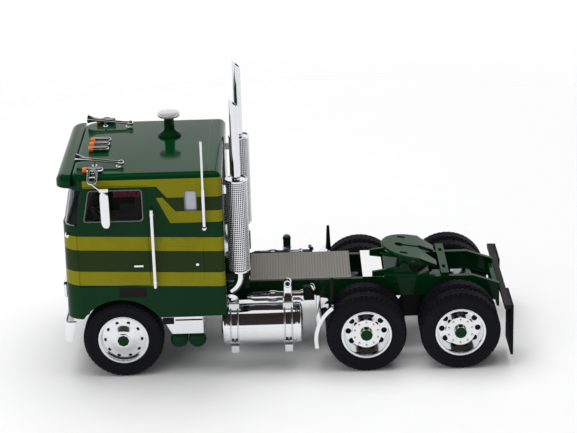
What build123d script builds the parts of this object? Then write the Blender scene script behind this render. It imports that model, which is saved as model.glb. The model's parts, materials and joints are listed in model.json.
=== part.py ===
"""A 1:43 display model of a three-axle cab-over semi truck tractor unit.

Lengths are millimetres. X points forward, Y to the truck's left and Z up. The origin is on the
ground, midway between the bumper's front and the mudflaps' rear.
"""
import os
from math import atan2, cos, degrees, hypot, radians, sin, sqrt, tan

from build123d import *

os.makedirs("parts", exist_ok=True)

# Whole truck, along X.
front_overhang = 18.5        # bumper front to front axle
front_to_drive = 77.6        # front axle to first drive axle
tandem_spacing = 30.0        # between the two drive axles
rear_overhang = 17.0         # last axle to the mudflaps' rear
overall_length = front_overhang + front_to_drive + tandem_spacing + rear_overhang
nose_x = overall_length / 2
tail_x = -overall_length / 2
front_axle_x = nose_x - front_overhang
drive_axle_xs = (front_axle_x - front_to_drive, front_axle_x - front_to_drive - tandem_spacing)
cab_width = 57.0
cab_half = cab_width / 2     # whatever stands outside the frame is placed from the cab's side

# Clearances.
fit = 0.05                   # between a piece and the seat that holds it
running = 0.06               # radial, between an axle rod and its bore
cut_over = 1.0               # how far a cutting tool runs past what it cuts
half_turn = 180.0

# Tyres and wheels, and the flats that stand for a circle on each.
tyre_sides = 36
wheel_sides = 32
rod_sides = 12
tyre_dia = 25.7
tyre_width = 6.5
tyre_shoulder = 1.1          # bevel between tread and side wall
rim_dia = 16.0
rim_wall = 0.7
twin_gap = 1.1               # between the two tyres of a twin
front_tyre_inset = 1.4       # in from the cab's side
front_tyre_outer_y = cab_half - front_tyre_inset
rear_tyre_outer_y = cab_half
axle_rod_dia = 2.0
axle_z = tyre_dia / 2
tyre_r = tyre_dia / 2
rim_r = rim_dia / 2
rod_r = axle_rod_dia / 2
rod_seat = 2.2               # how far the rod's end lies inside the wheel's outer face

# Wheel faces: depths are measured inward from the tyre's outer side.
front_hub_dia = 4.3
front_hub_proud = 0.7
front_disc_depth = 1.2       # disc near the rim
front_disc_crown = 0.2       # disc beside the hub
disc_wall = 0.9
rear_hub_dia = 9.4
rear_hub_depth = 0.9
rear_cap_dia = 3.8
rear_cap_proud = 0.3
rear_disc_depth = 3.6
wheel_boss_dia = 4.0
hub_sides = 8
hand_holes = 10
hand_hole_sides = 6
hand_hole_dia = 1.3
hand_hole_circle_dia = 11.4

# Ladder frame.
rail_outer_y = 11.6
rail_flange = 1.8
rail_web = 0.6
rail_top_z = 25.4
rail_height = 6.4
rail_front_from_axle = 14.0
rail_knee_from_axle = 113.0
rail_rear_from_axle = 121.7
rail_tail_drop = 3.0
crossmember_width = 2.4
crossmember_height = 3.2
crossmembers_from_axle = (41.8, 62.0, 92.6)
end_beam_length = 1.6
end_beam_height = 4.2

# Engine, gearbox and driveshaft, one moulding seen from below.
engine_front_from_axle = 9.0
engine_length = 34.0
engine_width = 15.0
engine_bottom_z = 15.4
engine_top_z = 26.6
gearbox_length = 13.0
gearbox_width = 9.0
gearbox_bottom_z = 15.6
gearbox_top_z = 22.6
shaft_dia = 2.0
shaft_gap = 0.25             # at each end of the driveshaft

# Front axle beam and its springs.
beam_gap = 1.3               # from the beam's end to the tyre
beam_length = 2 * (front_tyre_outer_y - tyre_width - beam_gap)
beam_width = 3.4
beam_height = 3.6
spring_length = 21.0
spring_width = 2.2
spring_leaf = 1.3

# Drive axle housings and their springs.
housing_dia = 4.4
housing_gap = 1.1            # from the housing's end to the inner tyre
housing_length = 2 * (rear_tyre_outer_y - 2 * tyre_width - twin_gap - housing_gap)
diff_dia = 9.2
diff_width = 8.0
walking_beam_width = 2.0
walking_beam_height = 2.2
hanger_width = 5.0

# Cab.
cab_rear_from_axle = 33.5
cab_bottom_z = 21.1
cab_top_z = 69.0
cab_wall = 1.2
nose_from_axle = 17.4        # cab front at its lower edge
sill_from_axle = 16.9        # cab front at the windscreen's lower edge
sill_z = 52.6
screen_lean_share = 0.2      # rearward lean of the screen for each unit of height
cab_corner = 5.6
cab_rear_corner = 1.8
cab_roof_edge = 2.4
arch_dia = 29.0
back_opening_z = 27.2        # under the back wall, over the frame
back_opening_inset = 3.5     # from the cab's side

# Windows, as places from the front axle and heights.
screen_top_z = 64.2
screen_side_low = 12.3
screen_side_top = 10.3
screen_post = 1.4
window_front_low = 9.8
window_front_top = 7.8
window_rear = 8.5            # behind the axle
window_low_z = 54.0
window_top_z = 64.0
window_corner = 1.0
vent_front = 21.9            # sleeper window, behind the axle
vent_rear = 25.3
vent_low_z = 57.0
vent_top_z = 63.2
vent_corner = 0.7
glass_thickness = 0.6
glass_inset = 0.3

# Door lines, step recess and luggage door.
groove_width = 0.25
groove_depth = 0.3
door_front = 12.4
door_rear = 10.0
door_low_z = 32.2
door_top_z = 65.4
recess_front = -0.2
recess_rear = 8.4
recess_low_z = 28.2
recess_top_z = 31.4
recess_depth = 0.7
hatch_front = 13.5
hatch_rear = 27.0
hatch_low_z = 34.5
hatch_top_z = 47.2

# Roof visor ahead of the roof.
visor_joint = 13.0           # ahead of the axle
visor_overhang = 1.1
visor_low_z = 65.2
visor_gap = 0.2

# Cab inside.
floor_z = 27.8
floor_thickness = 1.0
dash_height = 22.0
dash_depth = 5.0
tunnel_width = 15.0
tunnel_height = 14.0
bunk_height = 13.0
bunk_depth = 15.0
seat_width = 11.0
seat_depth = 10.0
seat_cushion = 4.0
seat_base_z = 38.0
seat_back_height = 18.0
seat_back_thickness = 3.0
seat_inset = 13.0            # seat's middle, in from the cab's side
seat_y = cab_half - seat_inset
seat_front_from_axle = 3.0
seat_back_lean_share = 0.15
steering_dia = 8.5
steering_rim = 0.7
steering_reach = 4.6         # wheel's centre behind the dash
steering_lean = 40.0
curtain_thickness = 0.8
curtain_from_axle = 11.5

# Roof fittings.
vent_base_dia = 5.0
vent_neck_dia = 3.0
vent_cap_dia = 7.0
vent_cap_height = 2.2
vent_neck_height = 5.1
vent_from_axle = 15.6
vent_y = -10.5
horn_bell_dia = 2.9
horn_tube_dia = 1.0
horn_driver_dia = 1.8
horn_bell_z = 71.3
horn_driver_z = 70.2
horn_front = 12.0            # bell's mouth, ahead of the axle
horn_rear = 3.0              # driver's end, behind the axle
horn_inset = 9.8             # middle of the left horn, in from the cab's side
horn_inset_right = 6.6
horn_splay = 2.8             # bell's mouth lies this much further right than the driver
marker_length = 5.6
marker_width = 1.7
marker_height = 1.7
marker_tail_height = 0.9
marker_front = 9.6
marker_lens = 1.5
marker_inset = 3.3           # outer marker's middle, in from the cab's side
marker_pitch = 4.9
marker_ys = (cab_half - marker_inset, marker_pitch, 0, -marker_pitch, marker_inset - cab_half)

# Mirrors, grab handles and the tall rod.
mirror_standoff = 3.1        # from the cab's side to the head's middle
mirror_y = cab_half + mirror_standoff
mirror_turn = 45.0
mirror_width = 3.0
mirror_thickness = 1.0
mirror_low_z = 52.8
mirror_top_z = 65.0
mirror_ahead = 2.7           # ahead of the axle
mirror_loop_width = 2.8
mirror_loop_top_z = 69.6
mirror_loop_inset = 1.9      # loop's upper end, in from the cab's side
bracket_dia = 0.8
handle_dia = 1.2
handle_standoff = 1.5
handle_y = cab_half + handle_standoff
handle_from_axle = 11.4
handle_low_z = 31.5
handle_top_z = 58.3
handle_foot_z = 2.0
rod_dia = 1.1
rod_knob_dia = 1.7
rod_top_dia = 0.8
rod_y = cab_half + handle_standoff
rod_from_axle = 27.6
rod_low_z = 50.6
rod_joint_z = 64.0
rod_top_z = 80.0

# Door handle, luggage door lock and corner lamp.
latch_from_axle = 6.5
latch_z = 38.9
latch_length = 2.9
latch_height = 0.7
latch_proud = 0.5
lock_from_axle = 24.9
lock_z = 38.9
lock_dia = 1.4
corner_lamp_z = 49.3
corner_lamp_dia = 1.8
corner_lamp_seat = 0.5       # how far its foot is let into the rounded corner

# Front: bumper, grille, lamps.
bumper_low_z = 9.5
bumper_top_z = 18.4
bumper_thickness = 1.1
bumper_inset = 0.5           # in from the cab's side
bumper_width = cab_width - 2 * bumper_inset
bumper_return = 4.6
bumper_corner = 3.4
bumper_bracket = 3.0
grille_low_z = 23.0
grille_top_z = 43.0
grille_depth = 0.9
grille_border = 1.2
grille_bars = 9
grille_bar_width = 0.7
lamp_dia = 3.8
lamp_pitch = 4.6
lamp_z = 29.0
lamp_inset = 8.0             # outer lamp's middle, in from the cab's side
lamp_ys = (cab_half - lamp_inset - lamp_pitch, cab_half - lamp_inset)
lamp_bezel_height = 5.2
bezel_width = lamp_pitch + lamp_bezel_height
grille_gap = 0.5             # between the grille and a lamp bezel
grille_width = lamp_ys[0] + lamp_ys[1] - bezel_width - 2 * grille_gap
lamp_bezel_depth = 0.9
lamp_lens_depth = 0.7

# Exhaust stacks.
stack_inset = 6.7            # in from the cab's side
stack_y = cab_half - stack_inset
stack_sides = 20
stack_from_axle = 37.8
stack_dia = 2.8
stack_wall = 0.4
stack_top_z = 90.4
stack_mitre_drop = 2.5
stack_bore_depth = 12.0      # from the pipe's highest point
stack_bend_z = 34.0
stack_bend_radius = 5.0
stack_tail_z = 26.6
guard_dia = 7.0
guard_wall = 0.4
guard_low_z = 33.8
guard_top_z = 64.7
guard_bracket_drop = 4.7     # bracket's lower edge under the guard's top
guard_bracket = 2.2

# Deck plates behind the cab.
deck_front_from_axle = 40.8
deck_rear_from_axle = 73.5
deck_thickness = 0.6
plate_front_from_axle = 77.3
plate_rear_from_axle = 84.0

# Fuel tanks, straps and upper pipes.
tank_dia = 12.8
tank_inset = 0.3             # tank's outer side in from the cab's side
tank_y = cab_half - tank_inset - tank_dia / 2
tank_z = 15.2
tank_front_from_axle = 31.3
tank_length = 26.2
tank_edge = 0.5
strap_width = 2.5
strap_thickness = 0.4
straps_from_axle = (35.6, 52.8)
strap_arm_height = 2.4
strap_arm_drop = 1.0         # arm's top below the strap's top
pipe_dia = 3.0
pipe_inset = 3.6             # in from the tank's middle
pipe_y = tank_y - pipe_inset
pipe_z = 22.9
pipe_front_from_axle = 39.6
pipe_rear_from_axle = 57.8
pipe_flange_dia = 3.8
pipe_flange_length = 0.8

# Battery boxes and air tanks under the cab.
box_front_from_axle = 12.4
box_slope_from_axle = 15.7
box_rear_from_axle = 25.7
box_low_z = 14.3
box_top_z = 20.2
box_inset = 1.9              # in from the cab's side
box_outer_y = cab_half - box_inset
air_tank_dia = 5.6
air_tank_length = 12.0
air_tanks_from_axle = (17.7, 23.5)
air_tank_inset = 0.6         # in from the box's side
air_tank_outer_y = box_outer_y - air_tank_inset

# Quarter fenders ahead of the first drive wheels.
fender_clearance = 2.6
fender_thickness = 0.5
fender_width = 8.0
fender_inset = 0.5           # in from the cab's side
fender_outer_y = cab_half - fender_inset
fender_top_angle = 42.0
fender_low_angle = -20.0
fender_post = 1.0

# Fifth wheel.
coupling_from_axle = 89.8    # throat's centre
coupling_pivot_from_axle = 91.0
coupling_pivot_z = 28.4
coupling_tilt = 9.7          # rear down, at rest
ramp_drop = 20.0             # ramps slope down this much more than the plate
coupling_top_z = 33.4        # plate's top at its front edge
coupling_width = 21.2
coupling_thickness = 1.1
coupling_front_from_axle = 83.9
coupling_crease_from_axle = 96.2
coupling_tip_from_axle = 101.6
throat_dia = 3.0
throat_slot = 1.2
throat_mouth = 3.4           # gap between the ramps at the crease
ramp_mouth = 9.6             # gap between the ramps at their tips
ramp_tip_width = 3.8
slot_length = 2.6
slot_width = 1.4
slot_y = 7.0
slot_behind_throat = 1.1
plate_edge = 0.35            # bevel round the top face
lug_thickness = 1.4
lug_y = 8.2
lug_dia = 2.8
ear_dia = 2.6
pivot_dia = 1.4
base_front_from_axle = 84.5
arm_front_from_axle = 80.4   # foot of the slanting arm ahead of the base
arm_toe = 1.0
base_rear_from_axle = 99.0
base_thickness = 0.8
ear_thickness = 1.2

# Cross plate behind the fifth wheel.
step_from_axle = 102.6
step_length = 2.6
step_width = 25.8
step_top_z = 27.2
step_slot_length = 1.0
step_slot_width = 2.4
step_slot_inset = 5.6        # from the plate's end

# Mudflaps and their hanger.
flap_inner_y = 12.4
flap_inset = 1.5             # in from the cab's side
flap_outer_y = cab_half - flap_inset
flap_low_z = 2.6
flap_top_z = 21.0
flap_thickness = 0.9
hanger_bar = 1.4
hanger_z = 20.4


def from_axle(distance):
    """X of a place that lies this far behind the front axle."""
    return front_axle_x - distance


def side_plane(y):
    """Plane across Y at this place, with X to its right and Z up."""
    return Plane.XZ.offset(-y)


def turned_on_axle(axle_x, outline):
    """Solid turned about an axle's line, from (distance along Y, radius) points."""
    with BuildPart() as piece:
        with BuildSketch(Plane.YZ.offset(axle_x)):
            with BuildLine():
                Polyline(*[(y, axle_z + r) for y, r in outline], close=True)
            make_face()
        revolve(axis=Axis((axle_x, 0, axle_z), (0, 1, 0)))
    return piece.part


def turned_lengthwise(y, z, outline):
    """Solid turned about a line along X, from (x, radius) points."""
    with BuildPart() as piece:
        with BuildSketch(side_plane(y)):
            with BuildLine():
                Polyline(*[(x, z + r) for x, r in outline], close=True)
            make_face()
        revolve(axis=Axis((0, y, z), (1, 0, 0)))
    return piece.part


def turned_upright(x, y, outline):
    """Solid turned about a vertical line, from (radius, z) points."""
    with BuildPart() as piece:
        with BuildSketch(side_plane(y)):
            with BuildLine():
                Polyline(*[(x + r, z) for r, z in outline], close=True)
            make_face()
        revolve(axis=Axis((x, y, 0), (0, 0, 1)))
    return piece.part


def turned_flats(start, sides, outline):
    """Many-sided solid about a plane's normal, from (distance along it, radius of the flats) points."""
    with BuildPart() as piece:
        for (near, near_r), (far, far_r) in zip(outline, outline[1:]):
            if far == near:
                continue
            for distance, radius in ((near, near_r), (far, far_r)):
                with BuildSketch(start.offset(distance)):
                    RegularPolygon(radius, sides, major_radius=False, rotation=half_turn / sides)
            loft(ruled=True)
    return piece.part


def wheel_face(axle_x, outer_y):
    """Plane on an axle's line at this y, facing inward, with Z up."""
    return Plane(origin=(axle_x, outer_y, axle_z), x_dir=(1, 0, 0), z_dir=(0, -1, 0))


def box_between(x_low, x_high, y_low, y_high, z_low, z_high):
    """Block between these limits."""
    with BuildPart() as block:
        with Locations(((x_low + x_high) / 2, (y_low + y_high) / 2, (z_low + z_high) / 2)):
            Box(x_high - x_low, y_high - y_low, z_high - z_low)
    return block.part


def finish(piece, name):
    """Label a finished piece and write it out."""
    piece.part.label = name
    export_step(piece.part, f"parts/{name}.step")


# Wheel parts, as (depth inside the outer tyre's side, radius) points.
rim_inner = rim_r - rim_wall
front_disc_back = front_disc_depth + disc_wall
rear_disc_back = rear_disc_depth + disc_wall
front_hub = ((-front_hub_proud, front_hub_dia / 2), (front_disc_depth, front_hub_dia / 2))
rear_hub = ((-rear_cap_proud, rear_cap_dia / 2), (rear_disc_depth, rear_cap_dia / 2))
front_disc = (
    (front_disc_crown, front_hub_dia / 2),
    (front_disc_depth, rim_inner),
    (front_disc_back, rim_inner),
)
rear_disc = (
    (rear_hub_depth, rear_hub_dia / 2),
    (rear_disc_depth, rear_hub_dia / 2),
    (rear_disc_depth, rim_inner),
    (rear_disc_back, rim_inner),
)

# Each rolling axle: name, place along X, outer sides of its left tyres, hub and disc of its wheels.
rear_tyre_ys = (rear_tyre_outer_y, rear_tyre_outer_y - tyre_width - twin_gap)
axles = (
    ("front", front_axle_x, (front_tyre_outer_y,), front_hub, front_disc),
    ("drive_1", drive_axle_xs[0], rear_tyre_ys, rear_hub, rear_disc),
    ("drive_2", drive_axle_xs[1], rear_tyre_ys, rear_hub, rear_disc),
)

for axle_name, axle_x, tyre_ys, hub, disc in axles:
    outer_y = tyre_ys[0]
    face = wheel_face(axle_x, outer_y)
    barrel_length = outer_y - tyre_ys[-1] + tyre_width
    disc_back = disc[-1][0]
    with BuildPart() as tyres:
        for tyre_y in tyre_ys:
            add(turned_flats(wheel_face(axle_x, tyre_y), tyre_sides, [
                (0, tyre_r - tyre_shoulder), (tyre_shoulder, tyre_r),
                (tyre_width - tyre_shoulder, tyre_r), (tyre_width, tyre_r - tyre_shoulder)]))
        add(turned_flats(face, tyre_sides, [
            (-cut_over, rim_r + fit), (barrel_length + cut_over, rim_r + fit)]), mode=Mode.SUBTRACT)
        mirror(about=Plane.XZ)
    finish(tyres, f"{axle_name}_tyres")

    # A wheel is a barrel through its tyres, a disc with hand holes, a hub and a boss on the rod.
    with BuildPart() as wheels:
        add(turned_flats(face, wheel_sides, [(0, rim_r), (barrel_length, rim_r)]))
        add(turned_flats(face, wheel_sides, [
            (-cut_over, rim_inner), (barrel_length + cut_over, rim_inner)]), mode=Mode.SUBTRACT)
        add(turned_flats(face, wheel_sides, disc))
        add(turned_flats(face, hub_sides, hub))
        add(turned_flats(face, hub_sides, [(disc_back, wheel_boss_dia / 2), (barrel_length, wheel_boss_dia / 2)]))
        with BuildSketch(face.offset(-cut_over)):
            with PolarLocations(hand_hole_circle_dia / 2, hand_holes):
                RegularPolygon(hand_hole_dia / 2, hand_hole_sides)
        extrude(amount=disc_back + 2 * cut_over, mode=Mode.SUBTRACT)
        with BuildSketch(face.offset(rod_seat - fit)):
            Circle(rod_r + fit)
        extrude(amount=barrel_length, mode=Mode.SUBTRACT)
        mirror(about=Plane.XZ)
    finish(wheels, f"{axle_name}_wheels")

    with BuildPart() as axle_rod:
        with BuildSketch(face.offset(rod_seat)):
            Circle(rod_r)
        extrude(amount=2 * (outer_y - rod_seat))
    finish(axle_rod, f"{axle_name}_axle_rod")


# Ladder frame: two channels open inward, their tails dropped, with crossmembers.
rail_front_x = from_axle(-rail_front_from_axle)
rail_knee_x = from_axle(rail_knee_from_axle)
rail_rear_x = from_axle(rail_rear_from_axle)
rail_low_z = rail_top_z - rail_height
rail_inner_y = rail_outer_y - rail_flange


def rail_outline(inset):
    """Side view of a rail, drawn in by inset from its top and bottom flanges."""
    return [
        (rail_front_x, rail_low_z + inset),
        (rail_knee_x, rail_low_z + inset),
        (rail_rear_x, rail_low_z - rail_tail_drop + inset),
        (rail_rear_x, rail_top_z - rail_tail_drop - inset),
        (rail_knee_x, rail_top_z - inset),
        (rail_front_x, rail_top_z - inset),
    ]


with BuildPart() as chassis_frame:
    with BuildSketch(side_plane(rail_outer_y)):
        with BuildLine():
            Polyline(*rail_outline(0), close=True)
        make_face()
    extrude(amount=rail_flange)
    with BuildSketch(side_plane(rail_inner_y)):
        with BuildLine():
            Polyline(*rail_outline(rail_web), close=True)
        make_face()
    extrude(amount=-(rail_flange - rail_web), mode=Mode.SUBTRACT)
    mirror(about=Plane.XZ)
    web_inner_y = rail_outer_y - rail_web
    member_top_z = rail_top_z - rail_web
    for place in crossmembers_from_axle:
        middle_x = from_axle(place)
        add(box_between(
            middle_x - crossmember_width / 2, middle_x + crossmember_width / 2,
            -web_inner_y, web_inner_y, member_top_z - crossmember_height, member_top_z))
    add(box_between(
        rail_rear_x, rail_rear_x + end_beam_length, -web_inner_y, web_inner_y,
        rail_low_z - rail_tail_drop + rail_web, rail_low_z - rail_tail_drop + rail_web + end_beam_height))
    add(box_between(
        rail_front_x - end_beam_length, rail_front_x, -web_inner_y, web_inner_y,
        member_top_z - crossmember_height, member_top_z))
    step_x = from_axle(step_from_axle)
    add(box_between(
        step_x - step_length, step_x, -step_width / 2, step_width / 2, rail_top_z, step_top_z))
    for side in (1, -1):
        slot_at = side * (step_width / 2 - step_slot_inset)
        add(box_between(
            step_x - (step_length + step_slot_length) / 2, step_x - (step_length - step_slot_length) / 2,
            slot_at - step_slot_width / 2, slot_at + step_slot_width / 2,
            rail_top_z, step_top_z + cut_over), mode=Mode.SUBTRACT)
finish(chassis_frame, "chassis_frame")


# Engine and gearbox as one plain moulding, with the driveshaft to the first drive axle.
engine_front_x = from_axle(-engine_front_from_axle)
engine_rear_x = engine_front_x - engine_length
gearbox_rear_x = engine_rear_x - gearbox_length
gearbox_mid_z = (gearbox_bottom_z + gearbox_top_z) / 2
shaft_front = Vector(gearbox_rear_x - shaft_gap, 0, gearbox_mid_z)
shaft_rear = Vector(drive_axle_xs[0] + diff_dia / 2 + shaft_gap, 0, axle_z + shaft_dia / 2)
with BuildPart() as engine_block:
    engine_centre_x = (engine_front_x + engine_rear_x) / 2
    with BuildSketch(Plane.XY.offset(engine_bottom_z)):
        with Locations((engine_centre_x, 0)):
            Rectangle(engine_length, engine_width)
    extrude(amount=engine_top_z - engine_bottom_z)
    with BuildSketch(Plane.YZ.offset(engine_rear_x)):
        with Locations((0, gearbox_mid_z)):
            RectangleRounded(gearbox_width, gearbox_top_z - gearbox_bottom_z, shaft_dia)
    extrude(amount=-gearbox_length)
finish(engine_block, "engine_and_gearbox")


shaft_line = shaft_rear - shaft_front
with BuildPart() as driveshaft:
    with BuildSketch(Plane(origin=shaft_front, z_dir=shaft_line)):
        Circle(shaft_dia / 2)
    extrude(amount=shaft_line.length)
finish(driveshaft, "driveshaft")


# Front axle beam with a leaf spring under each rail.
spring_y = rail_outer_y - spring_width / 2
with BuildPart() as front_axle_beam:
    add(box_between(
        front_axle_x - beam_width / 2, front_axle_x + beam_width / 2,
        -beam_length / 2, beam_length / 2, axle_z - beam_height / 2, axle_z + beam_height / 2))
    spring_end_z = rail_low_z
    spring_low_z = axle_z + beam_height / 2 - spring_leaf / 2
    for side in (1, -1):
        with BuildSketch(side_plane(side * spring_y + spring_width / 2)):
            with BuildLine():
                ends = [(front_axle_x - spring_length / 2, spring_end_z),
                        (front_axle_x + spring_length / 2, spring_end_z)]
                under = ThreePointArc(ends[0], (front_axle_x, spring_low_z), ends[1])
                over = ThreePointArc(
                    (ends[1][0] - spring_leaf, ends[1][1]), (front_axle_x, spring_low_z + spring_leaf),
                    (ends[0][0] + spring_leaf, ends[0][1]))
                Line(under @ 1, over @ 0)
                Line(over @ 1, under @ 0)
            make_face()
        extrude(amount=spring_width)
    with BuildSketch(side_plane(beam_length)):
        with Locations((front_axle_x, axle_z)):
            Circle(rod_r + running)
    extrude(amount=2 * beam_length, mode=Mode.SUBTRACT)
finish(front_axle_beam, "front_axle_beam")


# Drive axle housings, carried by a walking beam on each side under a middle hanger.
tandem_mid_x = sum(drive_axle_xs) / 2
beam_outer_y = housing_length / 2
with BuildPart() as drive_axle_carrier:
    for axle_x in drive_axle_xs:
        half = housing_length / 2
        add(turned_on_axle(axle_x, [(-half, 0), (half, 0), (half, housing_dia / 2), (-half, housing_dia / 2)]))
        bowl = diff_width / 2
        add(turned_on_axle(axle_x, [
            (-bowl, 0), (bowl, 0), (bowl, housing_dia / 2), (bowl / 2, diff_dia / 2),
            (-bowl / 2, diff_dia / 2), (-bowl, housing_dia / 2)]))
    for side in (1, -1):
        near_y = side * (rail_outer_y - rail_flange / 2)
        with BuildSketch(side_plane(near_y + walking_beam_width / 2)):
            with BuildLine():
                Polyline(
                    (drive_axle_xs[1], axle_z - walking_beam_height / 2),
                    (drive_axle_xs[0], axle_z - walking_beam_height / 2),
                    (drive_axle_xs[0], axle_z + walking_beam_height / 2),
                    (tandem_mid_x + hanger_width, axle_z + walking_beam_height),
                    (tandem_mid_x + hanger_width / 2, rail_low_z),
                    (tandem_mid_x - hanger_width / 2, rail_low_z),
                    (tandem_mid_x - hanger_width, axle_z + walking_beam_height),
                    (drive_axle_xs[1], axle_z + walking_beam_height / 2),
                    close=True)
            make_face()
        extrude(amount=walking_beam_width)
    with BuildSketch(side_plane(housing_length)):
        with Locations(*[(axle_x, axle_z) for axle_x in drive_axle_xs]):
            Circle(rod_r + running)
    extrude(amount=2 * housing_length, mode=Mode.SUBTRACT)
finish(drive_axle_carrier, "drive_axle_carrier")


# The cab's form as a closed block, with every face drawn in by skin.
cab_rear_x = from_axle(cab_rear_from_axle)
cab_nose_x = from_axle(-nose_from_axle)
sill_x = from_axle(-sill_from_axle)
roof_front_x = sill_x - (cab_top_z - sill_z) * screen_lean_share


def cab_block(skin, low_z):
    side_y = cab_half - skin
    top_z = cab_top_z - skin
    with BuildPart() as block:
        with BuildSketch(side_plane(side_y)):
            with BuildLine():
                Polyline(
                    (cab_rear_x + skin, low_z),
                    (cab_rear_x + skin, top_z),
                    (roof_front_x + skin * screen_lean_share - skin, top_z),
                    (sill_x - skin, sill_z),
                    (cab_nose_x - skin, low_z),
                    close=True)
            make_face()
        extrude(amount=2 * side_y)
        uprights = block.faces().filter_by(Axis.Y).edges().filter_by(Axis.X, reverse=True)
        uprights = uprights.sort_by(lambda edge: edge.center().X)
        fillet(uprights[2:], cab_corner - skin)
        uprights = block.faces().filter_by(Axis.Y).edges().filter_by(Axis.Z).sort_by(Axis.X)
        fillet(uprights[:2], cab_rear_corner - skin)
        fillet(block.faces().sort_by(Axis.Z)[-1].edges(), cab_roof_edge - skin)
    return block.part


def window_outline(clearance):
    """Side window's corners, drawn in by clearance."""
    return [
        (from_axle(-window_front_low) - clearance, window_low_z + clearance),
        (from_axle(-window_front_top) - clearance, window_top_z - clearance),
        (from_axle(window_rear) + clearance, window_top_z - clearance),
        (from_axle(window_rear) + clearance, window_low_z + clearance),
    ]


def screen_outline(clearance):
    """Windscreen band in side view: open at the front, ending on the cab's sides."""
    beyond_x = nose_x + cut_over
    return [
        (from_axle(-screen_side_low) + clearance, sill_z + clearance),
        (from_axle(-screen_side_top) + clearance, screen_top_z - clearance),
        (beyond_x, screen_top_z - clearance),
        (beyond_x, sill_z + clearance),
    ]


def rounded_prism(outline, corner, y_from, y_to):
    """Prism across Y over an outline in side view, with its corners rounded."""
    with BuildPart() as prism:
        with BuildSketch(side_plane(y_to)) as face:
            with BuildLine():
                Polyline(*outline, close=True)
            make_face()
            if corner > 0:
                fillet(face.vertices(), corner)
        extrude(amount=y_to - y_from)
    return prism.part


def vent_outline(clearance):
    """Sleeper window's corners, drawn in by clearance."""
    front = from_axle(vent_front) - clearance
    rear = from_axle(vent_rear) + clearance
    return [(front, vent_low_z + clearance), (front, vent_top_z - clearance),
            (rear, vent_top_z - clearance), (rear, vent_low_z + clearance)]


def groove_along(points, y_outer):
    """Shallow groove in the cab's side, along straight runs between these points."""
    with BuildPart() as groove:
        for (x_1, z_1), (x_2, z_2) in zip(points, points[1:]):
            run = hypot(x_2 - x_1, z_2 - z_1)
            angle = degrees(atan2(z_2 - z_1, x_2 - x_1))
            with BuildSketch(side_plane(y_outer + cut_over)):
                with Locations(Location(((x_1 + x_2) / 2, (z_1 + z_2) / 2), angle)):
                    Rectangle(run + groove_width, groove_width)
            extrude(amount=cut_over + groove_depth)
    return groove.part


side_y = cab_half
inner_side_y = side_y - cab_wall
visor_joint_x = from_axle(-visor_joint)
outer_block = cab_block(0, cab_bottom_z)
inner_block = cab_block(cab_wall, cab_bottom_z - cut_over)
side_window = rounded_prism(window_outline(0), window_corner, -cab_width, cab_width)
sleeper_vent = rounded_prism(vent_outline(0), vent_corner, -cab_width, cab_width)
screen_band = rounded_prism(screen_outline(0), 0, screen_post / 2, cab_width)
visor_seat = box_between(visor_joint_x, nose_x + cut_over, -cab_width, cab_width,
                         visor_low_z, cab_top_z + cut_over)
arch_cut = turned_on_axle(front_axle_x, [
    (front_tyre_outer_y - tyre_width - cut_over, 0), (cab_width, 0),
    (cab_width, arch_dia / 2), (front_tyre_outer_y - tyre_width - cut_over, arch_dia / 2)])
door_points = [
    (from_axle(-door_front), sill_z - groove_width),
    (from_axle(-door_front), door_low_z),
    (from_axle(door_rear), door_low_z),
    (from_axle(door_rear), door_top_z),
    (from_axle(-screen_side_top), door_top_z)]
hatch_points = [
    (from_axle(hatch_front), hatch_low_z),
    (from_axle(hatch_rear), hatch_low_z),
    (from_axle(hatch_rear), hatch_top_z),
    (from_axle(hatch_front), hatch_top_z),
    (from_axle(hatch_front), hatch_low_z)]
with BuildPart() as cab_shell:
    add(outer_block)
    add(inner_block, mode=Mode.SUBTRACT)
    add(side_window, mode=Mode.SUBTRACT)
    add(sleeper_vent, mode=Mode.SUBTRACT)
    add(visor_seat, mode=Mode.SUBTRACT)
    for about in (None, Plane.XZ):
        for tool in (screen_band, arch_cut, groove_along(door_points, side_y),
                     groove_along(hatch_points, side_y),
                     box_between(from_axle(recess_rear), from_axle(recess_front), side_y - recess_depth,
                                 side_y + cut_over, recess_low_z, recess_top_z)):
            add(tool if about is None else tool.mirror(about), mode=Mode.SUBTRACT)
    add(box_between(cab_rear_x - cut_over, cab_rear_x + cab_wall + cut_over,
                    back_opening_inset - cab_half, cab_half - back_opening_inset,
                    cab_bottom_z - cut_over, back_opening_z), mode=Mode.SUBTRACT)
finish(cab_shell, "cab_shell")


# Glass: bent panes that follow the cab's skin, and flat panes in the sides.
glass_skin = cab_block(glass_inset, cab_bottom_z)
glass_back = cab_block(glass_inset + glass_thickness, cab_bottom_z - cut_over)
with BuildPart() as windscreen:
    add(glass_skin)
    add(glass_back, mode=Mode.SUBTRACT)
    add(rounded_prism(screen_outline(fit), 0, screen_post / 2 + fit, cab_width), mode=Mode.INTERSECT)
    mirror(about=Plane.XZ)
finish(windscreen, "windscreen")

glass_outer_y = side_y - glass_inset
with BuildPart() as side_windows:
    add(rounded_prism(window_outline(fit), window_corner - fit, glass_outer_y - glass_thickness, glass_outer_y))
    mirror(about=Plane.XZ)
finish(side_windows, "side_windows")

with BuildPart() as sleeper_windows:
    add(rounded_prism(vent_outline(fit), vent_corner - fit, glass_outer_y - glass_thickness, glass_outer_y))
    mirror(about=Plane.XZ)
finish(sleeper_windows, "sleeper_windows")


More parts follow.
